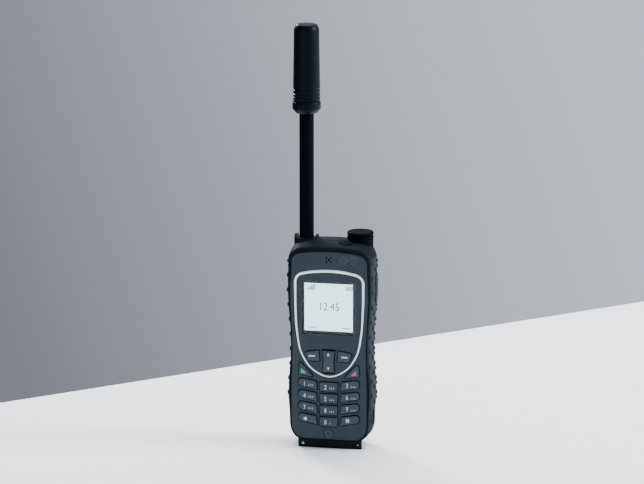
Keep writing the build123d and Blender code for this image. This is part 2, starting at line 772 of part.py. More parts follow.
with BuildPart() as grip_right:
    add(grip_skin_right)
    add(volume_slot, mode=Mode.SUBTRACT)
write(grip_right, "grip_right")

with BuildPart() as grip_left:
    add(grip_skin_left)
    add(fork_seat, mode=Mode.SUBTRACT)
    add(talk_slot, mode=Mode.SUBTRACT)
write(grip_left, "grip_left")

with BuildPart() as housing_screws:
    for x, z in SCREW_PLACES:
        add(rearward(x, z, FRAME_Y, BACK_Y - SCREW_HEAD_HEIGHT - 0.4, SCREW_RADIUS))
        add(rearward(x, z, BACK_Y - SCREW_HEAD_HEIGHT - 0.4, BACK_Y - 0.4, SCREW_HEAD))
        add(rearward(x, z, BACK_Y - 1.2, BACK_Y, 0.9), mode=Mode.SUBTRACT)
write(housing_screws, "housing_screws")

with BuildPart() as loudspeaker:
    add(rearward(speaker_x, speaker_z, BACK_Y - WALL - 4.4, BACK_Y - WALL - 0.6, 7.6))
write(loudspeaker, "loudspeaker")

# ---------------------------------------------------------------- side keys and side socket
with BuildPart() as volume_key:
    bar = stadium_slot(1, VOLUME_Z, VOLUME_LENGTH, SIDE_KEY_WIDTH, SIDE_TOP_HALF - SIDE_KEY_DEPTH, 34)
    add(bar & key_form)
write(volume_key, "volume_key")

with BuildPart() as talk_key:
    bar = stadium_slot(-1, TALK_Z, TALK_LENGTH, SIDE_KEY_WIDTH, SIDE_TOP_HALF - SIDE_KEY_DEPTH - 1, 34)
    add(bar & key_form)
write(talk_key, "talk_key")

cover_low = COVER_Z - COVER_HEIGHT / 2
cover_high = COVER_Z + COVER_HEIGHT / 2
with BuildPart() as port_cover:
    plate = block(COVER_INNER_X, 34, COVER_FRONT_Y, COVER_FRONT_Y + COVER_LENGTH, cover_low, cover_high)
    add(plate & outer_form)
    add(post(COVER_PIVOT_X, COVER_FRONT_Y, cover_low, cover_high, 0.9))
    add(post(COVER_PIVOT_X, COVER_FRONT_Y, cover_low - 1, cover_high + 1, COVER_PIN + CAP_PIN_FIT),
        mode=Mode.SUBTRACT)
write(port_cover, "port_cover")

with BuildPart() as side_socket:
    add(block(15, COVER_INNER_X - 0.6, COVER_FRONT_Y + 1.6, COVER_FRONT_Y + 7.4,
              COVER_Z - 3.6, COVER_Z + 3.6))
    with BuildSketch(Plane.YZ.offset(COVER_INNER_X - 0.6)):
        with Locations((COVER_FRONT_Y + 4.5, COVER_Z)):
            Rectangle(3.2, 5.2)
            Rectangle(1.0, 4.2, mode=Mode.SUBTRACT)
    extrude(amount=-5, mode=Mode.SUBTRACT)
write(side_socket, "side_socket")

# ---------------------------------------------------------------- power key
with BuildPart() as power_key:
    add(power_oval(0, -POWER_DEPTH, POWER_PROUD))
    fillet(power_key.faces().sort_by(Axis.Z)[-1].edges(), 0.5)
write(power_key, "power_key")

# ---------------------------------------------------------------- emergency button
lug_half = 5.2
knuckle_half = 2.6
pivot_z = CAP_BOTTOM_Z - 0.2
with BuildPart() as emergency_boss:
    add(post(CAP_X, CAP_Y, BOSS_BOTTOM_Z, BOSS_TOP_Z, CAP_RADIUS - 0.15))
    for side in (-1, 1):
        x0 = CAP_X + side * (knuckle_half + 0.15)
        x1 = CAP_X + side * lug_half
        x_low = min(x0, x1)
        x_high = max(x0, x1)
        add(block(x_low, x_high, CAP_Y + 4, CAP_PIVOT_Y + CAP_LUG_RADIUS, pivot_z - 4.5, pivot_z))
        add(across(x_low, x_high, CAP_PIVOT_Y, pivot_z, CAP_LUG_RADIUS))
    add(across(CAP_X - 8, CAP_X + 8, CAP_PIVOT_Y, pivot_z, CAP_PIN), mode=Mode.SUBTRACT)
    add(
        across(CAP_X - knuckle_half - 0.15, CAP_X + knuckle_half + 0.15, CAP_PIVOT_Y, pivot_z,
               CAP_PIVOT_RADIUS + 0.3),
        mode=Mode.SUBTRACT,
    )
    add(post(CAP_X, CAP_Y, BOSS_TOP_Z - 4.2, BOSS_TOP_Z + 6, EMERGENCY_RADIUS + 0.3), mode=Mode.SUBTRACT)
    add(post(CAP_X, CAP_Y, CAP_BOTTOM_Z - CAP_GAP, CAP_TOP_Z + 3, CAP_RADIUS + 0.3), mode=Mode.SUBTRACT)
    add(finger_notch, mode=Mode.SUBTRACT)
write(emergency_boss, "emergency_boss")

with BuildPart() as emergency_key:
    add(post(CAP_X, CAP_Y, BOSS_TOP_Z - 4.2 + EMERGENCY_TRAVEL + 0.1, BOSS_TOP_Z - 0.4, EMERGENCY_RADIUS))
    fillet(emergency_key.faces().sort_by(Axis.Z)[-1].edges(), 0.6)
write(emergency_key, "emergency_key")

with BuildPart() as emergency_cover:
    add(post(CAP_X, CAP_Y, CAP_BOTTOM_Z, CAP_TOP_Z, CAP_RADIUS))
    fillet(emergency_cover.faces().sort_by(Axis.Z)[-1].edges(), 1.2)
    with BuildSketch(front_plane(CAP_Y)):
        with BuildLine():
            Polyline(
                (CAP_X + CAP_RADIUS - CAP_GROOVE_DEPTH, CAP_GROOVE_Z),
                (CAP_X + CAP_RADIUS + 0.1, CAP_GROOVE_Z + CAP_GROOVE_DEPTH),
                (CAP_X + CAP_RADIUS + 0.1, CAP_GROOVE_Z - CAP_GROOVE_DEPTH),
                close=True,
            )
        make_face()
    revolve(axis=Axis((CAP_X, CAP_Y, 0), (0, 0, 1)), mode=Mode.SUBTRACT)
    add(finger_notch, mode=Mode.SUBTRACT)
    add(block(CAP_X - knuckle_half, CAP_X + knuckle_half, CAP_Y, CAP_PIVOT_Y, pivot_z, CAP_BOTTOM_Z + 1.6)
        - post(CAP_X, CAP_Y, pivot_z - 1, CAP_BOTTOM_Z, CAP_RADIUS + 0.45))
    add(across(CAP_X - knuckle_half, CAP_X + knuckle_half, CAP_PIVOT_Y, pivot_z, CAP_PIVOT_RADIUS))
    add(across(CAP_X - 8, CAP_X + 8, CAP_PIVOT_Y, pivot_z, CAP_PIN + CAP_PIN_FIT), mode=Mode.SUBTRACT)
write(emergency_cover, "emergency_cover")

with BuildPart() as cover_hinge_pins:
    add(across(CAP_X - lug_half, CAP_X + lug_half, CAP_PIVOT_Y, pivot_z, CAP_PIN))
    add(post(COVER_PIVOT_X, COVER_FRONT_Y, cover_low - COVER_GAP, cover_high + COVER_GAP, COVER_PIN))
write(cover_hinge_pins, "cover_hinge_pins")

# ---------------------------------------------------------------- antenna
fork_slot_half = KNUCKLE_HALF + FORK_GAP
with BuildPart() as antenna_fork:
    add(fork_post(FORK_BASE_Z, FORK_LIP_Z))
    add(
        rearward(MAST_X, FORK_LIP_Z - FORK_LIP_SAG + FORK_LIP_RADIUS, MAST_Y - 9, MAST_Y - FORK_EAR_HALF,
                 FORK_LIP_RADIUS),
        mode=Mode.SUBTRACT,
    )
    add(
        fork_post(FORK_LIP_Z - 1, FORK_TOP_Z)
        & across(MAST_X - 12, MAST_X + 12, MAST_Y, FORK_TOP_Z - FORK_EAR_HALF, FORK_EAR_HALF)
    )
    add(across(MAST_X - fork_slot_half, MAST_X + fork_slot_half, MAST_Y, PIVOT_Z, KNUCKLE_RADIUS + 0.25),
        mode=Mode.SUBTRACT)
    add(fold_slot, mode=Mode.SUBTRACT)
    add(block(MAST_X - fork_slot_half, MAST_X + fork_slot_half, MAST_Y - KNUCKLE_RADIUS - 0.25, MAST_Y + 1,
              PIVOT_Z, FORK_LIP_Z + 5), mode=Mode.SUBTRACT)
    add(post(MAST_X, MAST_Y, FORK_BASE_Z - 1, PIVOT_Z, well_outer - WELL_WALL), mode=Mode.SUBTRACT)
    add(across(MAST_X - 12, MAST_X + 12, MAST_Y, PIVOT_Z, PIVOT_PIN), mode=Mode.SUBTRACT)
write(antenna_fork, "antenna_fork")

with BuildPart() as antenna_hinge_pins:
    reach = MAST_RADIUS + 0.25
    add(across(MAST_X - FORK_HALF, MAST_X - reach, MAST_Y, PIVOT_Z, PIVOT_PIN))
    add(across(MAST_X + reach, MAST_X + FORK_HALF, MAST_Y, PIVOT_Z, PIVOT_PIN))
write(antenna_hinge_pins, "antenna_hinge_pins")

with BuildPart() as antenna_knuckle:
    add(across(MAST_X - KNUCKLE_HALF, MAST_X + KNUCKLE_HALF, MAST_Y, PIVOT_Z, KNUCKLE_RADIUS))
    add(post(MAST_X, MAST_Y, PIVOT_Z - 9, PIVOT_Z + 9, MAST_RADIUS + MAST_FIT), mode=Mode.SUBTRACT)
    add(
        post(MAST_X, MAST_Y, PIVOT_Z - 9, MAST_FOOT_Z + STOP_HEIGHT + 0.1,
             MAST_RADIUS + STOP_FLANGE + MAST_FIT),
        mode=Mode.SUBTRACT,
    )
    add(across(MAST_X - 9, MAST_X + 9, MAST_Y, PIVOT_Z, PIVOT_PIN + PIVOT_FIT), mode=Mode.SUBTRACT)
write(antenna_knuckle, "antenna_knuckle")

mast_top_z = COLLAR_BOTTOM_Z + 6.0
with BuildPart() as antenna_mast:
    add(post(MAST_X, MAST_Y, MAST_FOOT_Z, mast_top_z, MAST_RADIUS))
    add(post(MAST_X, MAST_Y, MAST_FOOT_Z, MAST_FOOT_Z + STOP_HEIGHT, MAST_RADIUS + STOP_FLANGE))
    add(post(MAST_X, MAST_Y, MAST_FOOT_Z - 1, mast_top_z + 1, MAST_BORE), mode=Mode.SUBTRACT)
write(antenna_mast, "antenna_mast")

mast_plane = Plane(origin=(MAST_X, MAST_Y, 0), x_dir=(1, 0, 0), z_dir=(0, -1, 0))
collar_top_z = COLLAR_BOTTOM_Z + COLLAR_HEIGHT
with BuildPart() as antenna_collar:
    with BuildSketch(mast_plane):
        with BuildLine():
            Polyline(
                (MAST_RADIUS, COLLAR_BOTTOM_Z),
                (COLLAR_NOSE_RADIUS, COLLAR_BOTTOM_Z),
                (COLLAR_RADIUS, COLLAR_BOTTOM_Z + 2.6),
                (COLLAR_RADIUS, collar_top_z - 0.6),
                (RADOME_RADIUS, collar_top_z),
                (MAST_BORE, collar_top_z),
                (MAST_BORE, mast_top_z),
                (MAST_RADIUS, mast_top_z),
                close=True,
            )
        make_face()
    revolve(axis=Axis((MAST_X, MAST_Y, 0), (0, 0, 1)))
write(antenna_collar, "antenna_collar")

dome_height = 3.6
with BuildPart() as antenna_radome:
    with BuildSketch(mast_plane):
        with BuildLine():
            Line((RADOME_RADIUS - RADOME_WALL, collar_top_z), (RADOME_RADIUS, collar_top_z))
            Line((RADOME_RADIUS, collar_top_z), (RADOME_TOP_RADIUS, RADOME_TOP_Z - dome_height))
            Bezier(
                (RADOME_TOP_RADIUS, RADOME_TOP_Z - dome_height),
                (RADOME_TOP_RADIUS, RADOME_TOP_Z - 0.5),
                (RADOME_TOP_RADIUS - 3, RADOME_TOP_Z),
                (0, RADOME_TOP_Z),
            )
            Line((0, RADOME_TOP_Z), (0, RADOME_TOP_Z - 2))
            Line((0, RADOME_TOP_Z - 2), (RADOME_TOP_RADIUS - RADOME_WALL, RADOME_TOP_Z - dome_height))
            Line(
                (RADOME_TOP_RADIUS - RADOME_WALL, RADOME_TOP_Z - dome_height),
                (RADOME_RADIUS - RADOME_WALL, collar_top_z),
            )
        make_face()
    revolve(axis=Axis((MAST_X, MAST_Y, 0), (0, 0, 1)))
write(antenna_radome, "antenna_radome")

with BuildPart() as antenna_helix:
    core_radius = RADOME_TOP_RADIUS - RADOME_WALL - 0.6
    add(post(MAST_X, MAST_Y, collar_top_z, RADOME_TOP_Z - dome_height - 1.5, core_radius))
    hollow = post(MAST_X, MAST_Y, collar_top_z - 1, RADOME_TOP_Z - dome_height, core_radius - 0.8)
    add(hollow, mode=Mode.SUBTRACT)
write(antenna_helix, "antenna_helix")

with BuildPart() as antenna_well:
    add(post(MAST_X, MAST_Y, WELL_FLOOR_Z - 0.8, FORK_BASE_Z, well_outer))
    add(post(MAST_X, MAST_Y, WELL_FLOOR_Z, FORK_BASE_Z + 1, well_outer - WELL_WALL), mode=Mode.SUBTRACT)
write(antenna_well, "antenna_well")

# ---------------------------------------------------------------- battery
battery_blank = block(battery_left, battery_right, BATTERY_FRONT_Y, 30, BATTERY_BOTTOM_Z, battery_top)
with BuildPart() as battery_pack:
    add(battery_blank & outer_form)
write(battery_pack, "battery_pack")

with BuildPart() as sim_holder:
    add(block(-6, 12, bay_floor_y, BATTERY_FRONT_Y - 0.3, 60, 78))
write(sim_holder, "sim_holder")

with BuildPart() as battery_latch:
    add(
        block(BATTERY_X - LATCH_WIDTH / 2, BATTERY_X + LATCH_WIDTH / 2,
              BACK_Y - LATCH_THICKNESS, BACK_Y + 0.4, latch_bottom, latch_bottom + LATCH_HEIGHT)
    )
    with BuildSketch(front_plane(BACK_Y + 0.5)):
        with Locations((BATTERY_X, latch_bottom + LATCH_HEIGHT / 2)):
            with GridLocations(0, 1.5, 1, 3):
                Rectangle(LATCH_WIDTH - 3, 0.6)
    extrude(amount=0.6, mode=Mode.SUBTRACT)
write(battery_latch, "battery_latch")

# ---------------------------------------------------------------- base adapter
base_front_y = BASE_CENTRE_Y - BASE_DEPTH / 2
base_back_y = BASE_CENTRE_Y + BASE_DEPTH / 2
with BuildPart() as base_adapter:
    with BuildSketch(Plane.XY) as plan:
        with BuildLine():
            Polyline(
                (-BASE_WIDTH / 2, base_front_y),
                (BASE_WIDTH / 2, base_front_y),
                (BASE_BACK_WIDTH / 2, base_back_y),
                (-BASE_BACK_WIDTH / 2, base_back_y),
                close=True,
            )
        make_face()
        fillet(plan.vertices().group_by(Axis.Y)[0], BASE_FRONT_CORNER)
        fillet(plan.vertices().group_by(Axis.Y)[-1], BASE_BACK_CORNER)
    extrude(amount=HULL_BOTTOM + 2)
    add(outer_form, mode=Mode.SUBTRACT)
    with BuildSketch(front_plane(base_back_y)):
        with Locations((-8, 2.6)):
            Rectangle(8.0, 3.0)
        with Locations((8, 2.6)):
            Circle(1.9)
    extrude(amount=7, mode=Mode.SUBTRACT)
write(base_adapter, "base_adapter")

with BuildPart() as adapter_sockets:
    with BuildSketch(front_plane(base_back_y - 0.4)):
        with Locations((-8, 2.6)):
            Rectangle(8.0, 3.0)
            Rectangle(7.2, 2.2, mode=Mode.SUBTRACT)
        with Locations((8, 2.6)):
            Circle(1.9)
            Circle(1.5, mode=Mode.SUBTRACT)
    extrude(amount=6.0)
write(adapter_sockets, "adapter_sockets")

with BuildPart() as base_connector:
    add(connector_block)
write(base_connector, "base_connector")
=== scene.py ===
"""Looks of a rugged satellite handset that stands on its base adapter.

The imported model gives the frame.  The shells, the panel and the small inner pieces keep
their own meshes and get finishes.  The grips, front keys, ring, display, mast, collar and
radome are surfaces worked out here, in millimetres, and each rides on the body of the
piece it stands for.
"""
import logging
import math
from dataclasses import dataclass, field
from enum import Enum
from typing import Callable, Dict, List, Sequence, Tuple

import bpy
import bmesh
import numpy as np
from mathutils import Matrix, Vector


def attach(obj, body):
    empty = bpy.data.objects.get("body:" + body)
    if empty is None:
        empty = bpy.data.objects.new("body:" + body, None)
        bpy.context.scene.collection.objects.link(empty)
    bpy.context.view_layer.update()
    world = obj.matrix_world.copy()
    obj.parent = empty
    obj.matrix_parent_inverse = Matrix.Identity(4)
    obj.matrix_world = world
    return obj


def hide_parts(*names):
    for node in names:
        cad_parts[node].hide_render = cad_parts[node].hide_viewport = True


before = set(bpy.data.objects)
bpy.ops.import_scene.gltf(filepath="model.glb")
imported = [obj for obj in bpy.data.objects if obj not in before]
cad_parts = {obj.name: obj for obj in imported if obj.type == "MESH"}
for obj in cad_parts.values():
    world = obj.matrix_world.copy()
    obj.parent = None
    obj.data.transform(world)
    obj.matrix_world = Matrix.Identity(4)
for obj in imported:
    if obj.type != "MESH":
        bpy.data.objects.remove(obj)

log = logging.getLogger("handset")
MM = 0.001
Array = np.ndarray
Point = Tuple[float, float]
Place = Tuple[float, float, float]
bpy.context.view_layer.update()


# ---------------------------------------------------------------- curves
def bezier(p0: Point, p1: Point, p2: Point, p3: Point, count: int) -> Array:
    """Cubic Bezier curve: the blend of four points by (1-t)^3, 3t(1-t)^2, 3t^2(1-t) and t^3.

    Args:
        p0: Start point.
        p1: First handle.
        p2: Second handle.
        p3: End point.
        count: How many points, both ends counted.

    Returns:
        Points as an array of shape (count, 2).
    """
    t = np.linspace(0.0, 1.0, count)[:, None]
    a, b, c, d = (np.asarray(p, float) for p in (p0, p1, p2, p3))
    return (1 - t) ** 3 * a + 3 * t * (1 - t) ** 2 * b + 3 * t**2 * (1 - t) * c + t**3 * d


def smooth_value(x: Array, knots: Array, values: Array) -> Array:
    """Cubic Hermite curve through knots, its slopes the mean of the slopes on either side.

    Args:
        x: Where to read the curve.
        knots: Rising knot places.
        values: Values at the knots.

    Returns:
        The curve's value at each x, held flat outside the knots.
    """
    slopes = np.gradient(values, knots)
    x = np.clip(x, knots[0], knots[-1])
    k = np.clip(np.searchsorted(knots, x, side="right") - 1, 0, len(knots) - 2)
    h = knots[k + 1] - knots[k]
    t = (x - knots[k]) / h
    return (
        values[k] * (1 + 2 * t) * (1 - t) ** 2
        + slopes[k] * h * t * (1 - t) ** 2
        + values[k + 1] * t**2 * (3 - 2 * t)
        - slopes[k + 1] * h * t**2 * (1 - t)
    )


def smooth_path(points: Sequence[Point], count: int, start: Point, end: Point) -> Array:
    """Curve through points: a cubic Hermite curve over chord length, with given end directions.

    Args:
        points: The points that the curve passes.
        count: How many points to return.
        start: Direction at the start.
        end: Direction at the end.

    Returns:
        Points as an array of shape (count, 2).
    """
    p = np.asarray(points, float)
    chord = np.r_[0.0, np.cumsum(np.linalg.norm(np.diff(p, axis=0), axis=1))]
    slopes = np.gradient(p, chord, axis=0)
    slopes[0] = np.asarray(start, float)
    slopes[-1] = np.asarray(end, float)
    s = np.linspace(0.0, chord[-1], count)
    k = np.clip(np.searchsorted(chord, s, side="right") - 1, 0, len(p) - 2)
    h = (chord[k + 1] - chord[k])[:, None]
    t = (s - chord[k])[:, None] / h
    return (
        p[k] * (1 + 2 * t) * (1 - t) ** 2
        + slopes[k] * h * t * (1 - t) ** 2
        + p[k + 1] * t**2 * (3 - 2 * t)
        - slopes[k + 1] * h * t**2 * (1 - t)
    )


def rounded_polygon(corners: Sequence[Point], radii: Sequence[float], per_corner: int = 9) -> Array:
    """Closed outline whose corners are arcs tangent to both sides, at the given radii.

    Args:
        corners: Polygon corners in order.
        radii: One radius for each corner.
        per_corner: Points on each arc.

    Returns:
        Outline points, anticlockwise as seen from the front, shape (n, 2).
    """
    p = np.asarray(corners, float)
    r = np.asarray(radii, float)[:, None]
    back = np.roll(p, 1, axis=0) - p
    ahead = np.roll(p, -1, axis=0) - p
    back /= np.linalg.norm(back, axis=1, keepdims=True)
    ahead /= np.linalg.norm(ahead, axis=1, keepdims=True)
    half = 0.5 * np.arccos(np.clip((back * ahead).sum(1, keepdims=True), -1, 1))
    middle = back + ahead
    middle /= np.linalg.norm(middle, axis=1, keepdims=True)
    centre = p + middle * r / np.sin(half)
    first = p + back * r / np.tan(half) - centre
    last = p + ahead * r / np.tan(half) - centre
    a0 = np.arctan2(first[:, 1], first[:, 0])
    turn = np.arctan2(last[:, 1], last[:, 0]) - a0
    turn = (turn + np.pi) % (2 * np.pi) - np.pi
    t = np.linspace(0.0, 1.0, per_corner)
    angle = a0[:, None] + turn[:, None] * t
    out = centre[:, None, :] + r[:, None, :] * np.stack([np.cos(angle), np.sin(angle)], axis=-1)
    loop = out.reshape(-1, 2)
    area = 0.5 * np.sum(loop[:, 0] * np.roll(loop[:, 1], -1) - np.roll(loop[:, 0], -1) * loop[:, 1])
    return loop if area > 0 else loop[::-1]


def inset_loop(loop: Array, amount: float) -> Array:
    """Closed loop moved inwards along its own normals.

    Args:
        loop: Anticlockwise points, shape (n, 2).
        amount: Distance inwards; negative moves outwards.

    Returns:
        The moved loop, same shape.
    """
    along = np.roll(loop, -1, axis=0) - np.roll(loop, 1, axis=0)
    along /= np.maximum(np.linalg.norm(along, axis=1, keepdims=True), 1e-9)
    inward = np.stack([-along[:, 1], along[:, 0]], axis=1)
    return loop + amount * inward


# ---------------------------------------------------------------- meshes
@dataclass
class Skin:
    """Gathers grids of points, in millimetres, into one mesh."""

    points: List[Array] = field(default_factory=list)
    quads: List[Array] = field(default_factory=list)
    slots: List[Array] = field(default_factory=list)
    count: int = 0

    def grid(self, grid: Array, wrap: bool = False, slot: int = 0) -> "Skin":
        """Adds a grid of points; each cell becomes one face.

        Args:
            grid: Points of shape (rows, columns, 3).
            wrap: True joins the last column to the first.
            slot: Material slot of its faces.

        Returns:
            This skin.
        """
        rows, cols, _ = grid.shape
        index = np.arange(rows * cols).reshape(rows, cols) + self.count
        right = np.roll(index, -1, axis=1)
        used = slice(None) if wrap else slice(0, cols - 1)
        faces = np.stack(
            [index[:-1, used], right[:-1, used], right[1:, used], index[1:, used]], axis=-1
        ).reshape(-1, 4)
        self.points.append(grid.reshape(-1, 3))
        self.quads.append(faces)
        self.slots.append(np.full(len(faces), slot, dtype=np.int32))
        self.count += rows * cols
        return self

    def build(
        self, name: str, materials: Sequence[bpy.types.Material], sharp: float = 40.0
    ) -> bpy.types.Object:
        """Makes the object: doubles merged, faces outwards, smooth but for its sharp edges.

        Args:
            name: Name of the piece.
            materials: Materials in the order of the slots.
            sharp: Edges that turn by more than this many degrees stay sharp.

        Returns:
            The linked object, at the origin.
        """
        mesh = bpy.data.meshes.new(name)
        verts = np.concatenate(self.points) * MM
        faces = np.concatenate(self.quads)
        mesh.vertices.add(len(verts))
        mesh.vertices.foreach_set("co", verts.astype(np.float32).ravel())
        mesh.loops.add(faces.size)
        mesh.loops.foreach_set("vertex_index", faces.astype(np.int32).ravel())
        mesh.polygons.add(len(faces))
        mesh.polygons.foreach_set("loop_start", np.arange(0, faces.size, 4, dtype=np.int32))
        mesh.polygons.foreach_set("material_index", np.concatenate(self.slots))
        mesh.update(calc_edges=True)
        solid = bmesh.new()
        solid.from_mesh(mesh)
        bmesh.ops.remove_doubles(solid, verts=solid.verts, dist=2e-6)
        bmesh.ops.dissolve_degenerate(solid, edges=solid.edges, dist=1e-7)
        bmesh.ops.recalc_face_normals(solid, faces=solid.faces)
        solid.to_mesh(mesh)
        solid.free()
        mesh.polygons.foreach_set("use_smooth", np.ones(len(mesh.polygons), dtype=bool))
        mesh.set_sharp_from_angle(angle=math.radians(sharp))
        for material in materials:
            mesh.materials.append(material)
        made = bpy.data.objects.new(name, mesh)
        bpy.context.scene.collection.objects.link(made)
        log.info("%s: %d faces", name, len(mesh.polygons))
        return made


def turned(profile: Array, axis: Point, steps: int = 96) -> Array:
    """Surface of revolution about an upright axis: each profile point carried round a circle.

    Args:
        profile: Points (radius, height), shape (n, 2).
        axis: The axis's x and y.
        steps: Points round the circle.

    Returns:
        Grid of shape (n, steps, 3).
    """
    angle = np.arange(steps) * (2 * np.pi / steps)
    r = profile[:, 0][:, None]
    height = np.repeat(profile[:, 1][:, None], steps, 1)
    return np.stack([axis[0] + r * np.cos(angle), axis[1] + r * np.sin(angle), height], axis=-1)


def soft_profile(corners: Sequence[Tuple[float, float, float]], per_corner: int = 6) -> Array:
    """Open profile whose inner corners are arcs tangent to both runs.

    Args:
        corners: (radius, height, rounding) of each corner; the ends are not rounded.
        per_corner: Points on each arc.

    Returns:
        Profile points, shape (n, 2).
    """
    out = [np.asarray([corners[0][:2]], float)]
    for before, here, after in zip(corners[:-2], corners[1:-1], corners[2:]):
        p = np.asarray(here[:2], float)
        a = np.asarray(before[:2], float) - p
        b = np.asarray(after[:2], float) - p
        la, lb = np.linalg.norm(a), np.linalg.norm(b)
        reach = min(here[2], 0.49 * la, 0.49 * lb)
        start, end = p + a / la * reach, p + b / lb * reach
        t = np.linspace(0, 1, per_corner if reach > 0 else 1)[:, None]
        out.append((1 - t) ** 2 * start + 2 * t * (1 - t) * p + t**2 * end)
    out.append(np.asarray([corners[-1][:2]], float))
    return np.concatenate(out)


def own(made: bpy.types.Object, body: str, slot: str, *nodes: str) -> bpy.types.Object:
    """Puts a piece on its body and in place of its nodes.

    Args:
        made: The piece.
        body: Body that it rides on.
        slot: Not used.
        nodes: CAD nodes that it stands for.

    Returns:
        The same piece.
    """
    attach(made, body)
    if nodes:
        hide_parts(*nodes)
    return made


# ---------------------------------------------------------------- finishes
COOL_GLOSS = (0.72, 0.86, 1.0, 1.0)
LAMP_COLOUR = (0.93, 0.965, 1.0)


class Grain(Enum):
    """Surface textures that the finishes choose from."""

    SPARK = "spark"
    LEATHERY = "leathery"
    BRUSHED = "brushed"
    SMOOTH = "smooth"


@dataclass(frozen=True)
class Finish:
    """One opaque finish: a base colour broken up by soft noise, with its own gloss and grain."""

    name: str
    colour: Tuple[float, float, float]
    roughness: float = 0.5
    metallic: float = 0.0
    grain: Grain = Grain.SPARK
    grain_mm: float = 0.35
    grain_depth: float = 0.25
    variation: float = 0.12
    coat: float = 0.0
    coat_roughness: float = 0.2
    specular: float = 0.5

    def build(self) -> bpy.types.Material:
        """Makes the node material: two noises drive colour, roughness and bump."""
        material = bpy.data.materials.new(self.name)
        material.use_nodes = True
        tree = material.node_tree
        shader = tree.nodes["Principled BSDF"]
        shader.inputs["Metallic"].default_value = self.metallic
        shader.inputs["Coat Weight"].default_value = self.coat
        shader.inputs["Coat Roughness"].default_value = self.coat_roughness
        shader.inputs["Specular IOR Level"].default_value = self.specular
        if not self.metallic:
            shader.inputs["Specular Tint"].default_value = COOL_GLOSS
        place = tree.nodes.new("ShaderNodeTexCoord")
        cloud = tree.nodes.new("ShaderNodeTexNoise")
        cloud.inputs["Scale"].default_value = 55.0
        cloud.inputs["Detail"].default_value = 5.0
        tree.links.new(place.outputs["Object"], cloud.inputs["Vector"])
        tone = tree.nodes.new("ShaderNodeValToRGB")
        low = tuple(c * (1 - self.variation) for c in self.colour)
        high = tuple(min(1.0, c * (1 + self.variation)) for c in self.colour)
        tone.color_ramp.elements[0].position = 0.35
        tone.color_ramp.elements[1].position = 0.65
        tone.color_ramp.elements[0].color = (*low, 1)
        tone.color_ramp.elements[1].color = (*high, 1)
        tree.links.new(cloud.outputs["Fac"], tone.inputs["Fac"])
        tree.links.new(tone.outputs["Color"], shader.inputs["Base Color"])
        gloss = tree.nodes.new("ShaderNodeMapRange")
        gloss.inputs["To Min"].default_value = self.roughness * 0.9
        gloss.inputs["To Max"].default_value = min(1.0, self.roughness * 1.1)
        tree.links.new(cloud.outputs["Fac"], gloss.inputs["Value"])
        tree.links.new(gloss.outputs["Result"], shader.inputs["Roughness"])
        height = self._grain(tree, place)
        bump = tree.nodes.new("ShaderNodeBump")
        bump.inputs["Strength"].default_value = self.grain_depth
        bump.inputs["Distance"].default_value = 0.05 * MM
        tree.links.new(height, bump.inputs["Height"])
        tree.links.new(bump.outputs["Normal"], shader.inputs["Normal"])
        return material

    def _grain(self, tree: bpy.types.NodeTree, place: bpy.types.Node) -> bpy.types.NodeSocket:
        """Adds the texture that the bump reads.

        Args:
            tree: The material's node tree.
            place: Its texture coordinate node.

        Returns:
            The socket with the height.
        """
        scale = 1.0 / (self.grain_mm * MM)
        if self.grain is Grain.LEATHERY:
            cells = tree.nodes.new("ShaderNodeTexVoronoi")
            cells.inputs["Scale"].default_value = scale
            tree.links.new(place.outputs["Object"], cells.inputs["Vector"])
            return cells.outputs["Distance"]
        noise = tree.nodes.new("ShaderNodeTexNoise")
        noise.inputs["Scale"].default_value = scale
        noise.inputs["Detail"].default_value = 2.0 if self.grain is Grain.SMOOTH else 4.0
        if self.grain is Grain.BRUSHED:
            stretch = tree.nodes.new("ShaderNodeMapping")
            stretch.inputs["Scale"].default_value = (1.0, 1.0, 0.06)
            tree.links.new(place.outputs["Object"], stretch.inputs["Vector"])
            tree.links.new(stretch.outputs["Vector"], noise.inputs["Vector"])
        else:
            tree.links.new(place.outputs["Object"], noise.inputs["Vector"])
        return noise.outputs["Fac"]


@dataclass(frozen=True)
class Glass:
    """Clear window that hardly bends the light, with a weak gloss on its face."""

    name: str
    tint: Tuple[float, float, float] = (0.97, 0.99, 0.99)
    roughness: float = 0.03
    index: float = 1.05
    gloss: float = 0.2

    def build(self) -> bpy.types.Material:
        """Makes a clear shader with faint smears in its roughness."""
        material = bpy.data.materials.new(self.name)
        material.use_nodes = True
        tree = material.node_tree
        shader = tree.nodes["Principled BSDF"]
        shader.inputs["Base Color"].default_value = (*self.tint, 1)
        shader.inputs["Transmission Weight"].default_value = 1.0
        shader.inputs["IOR"].default_value = self.index
        shader.inputs["Coat Weight"].default_value = self.gloss
        place = tree.nodes.new("ShaderNodeTexCoord")
        smear = tree.nodes.new("ShaderNodeTexNoise")
        smear.inputs["Scale"].default_value = 80.0
        tree.links.new(place.outputs["Object"], smear.inputs["Vector"])
        gloss = tree.nodes.new("ShaderNodeMapRange")
        gloss.inputs["To Min"].default_value = self.roughness * 0.5
        gloss.inputs["To Max"].default_value = self.roughness * 1.5
        tree.links.new(smear.outputs["Fac"], gloss.inputs["Value"])
        tree.links.new(gloss.outputs["Result"], shader.inputs["Roughness"])
        return material


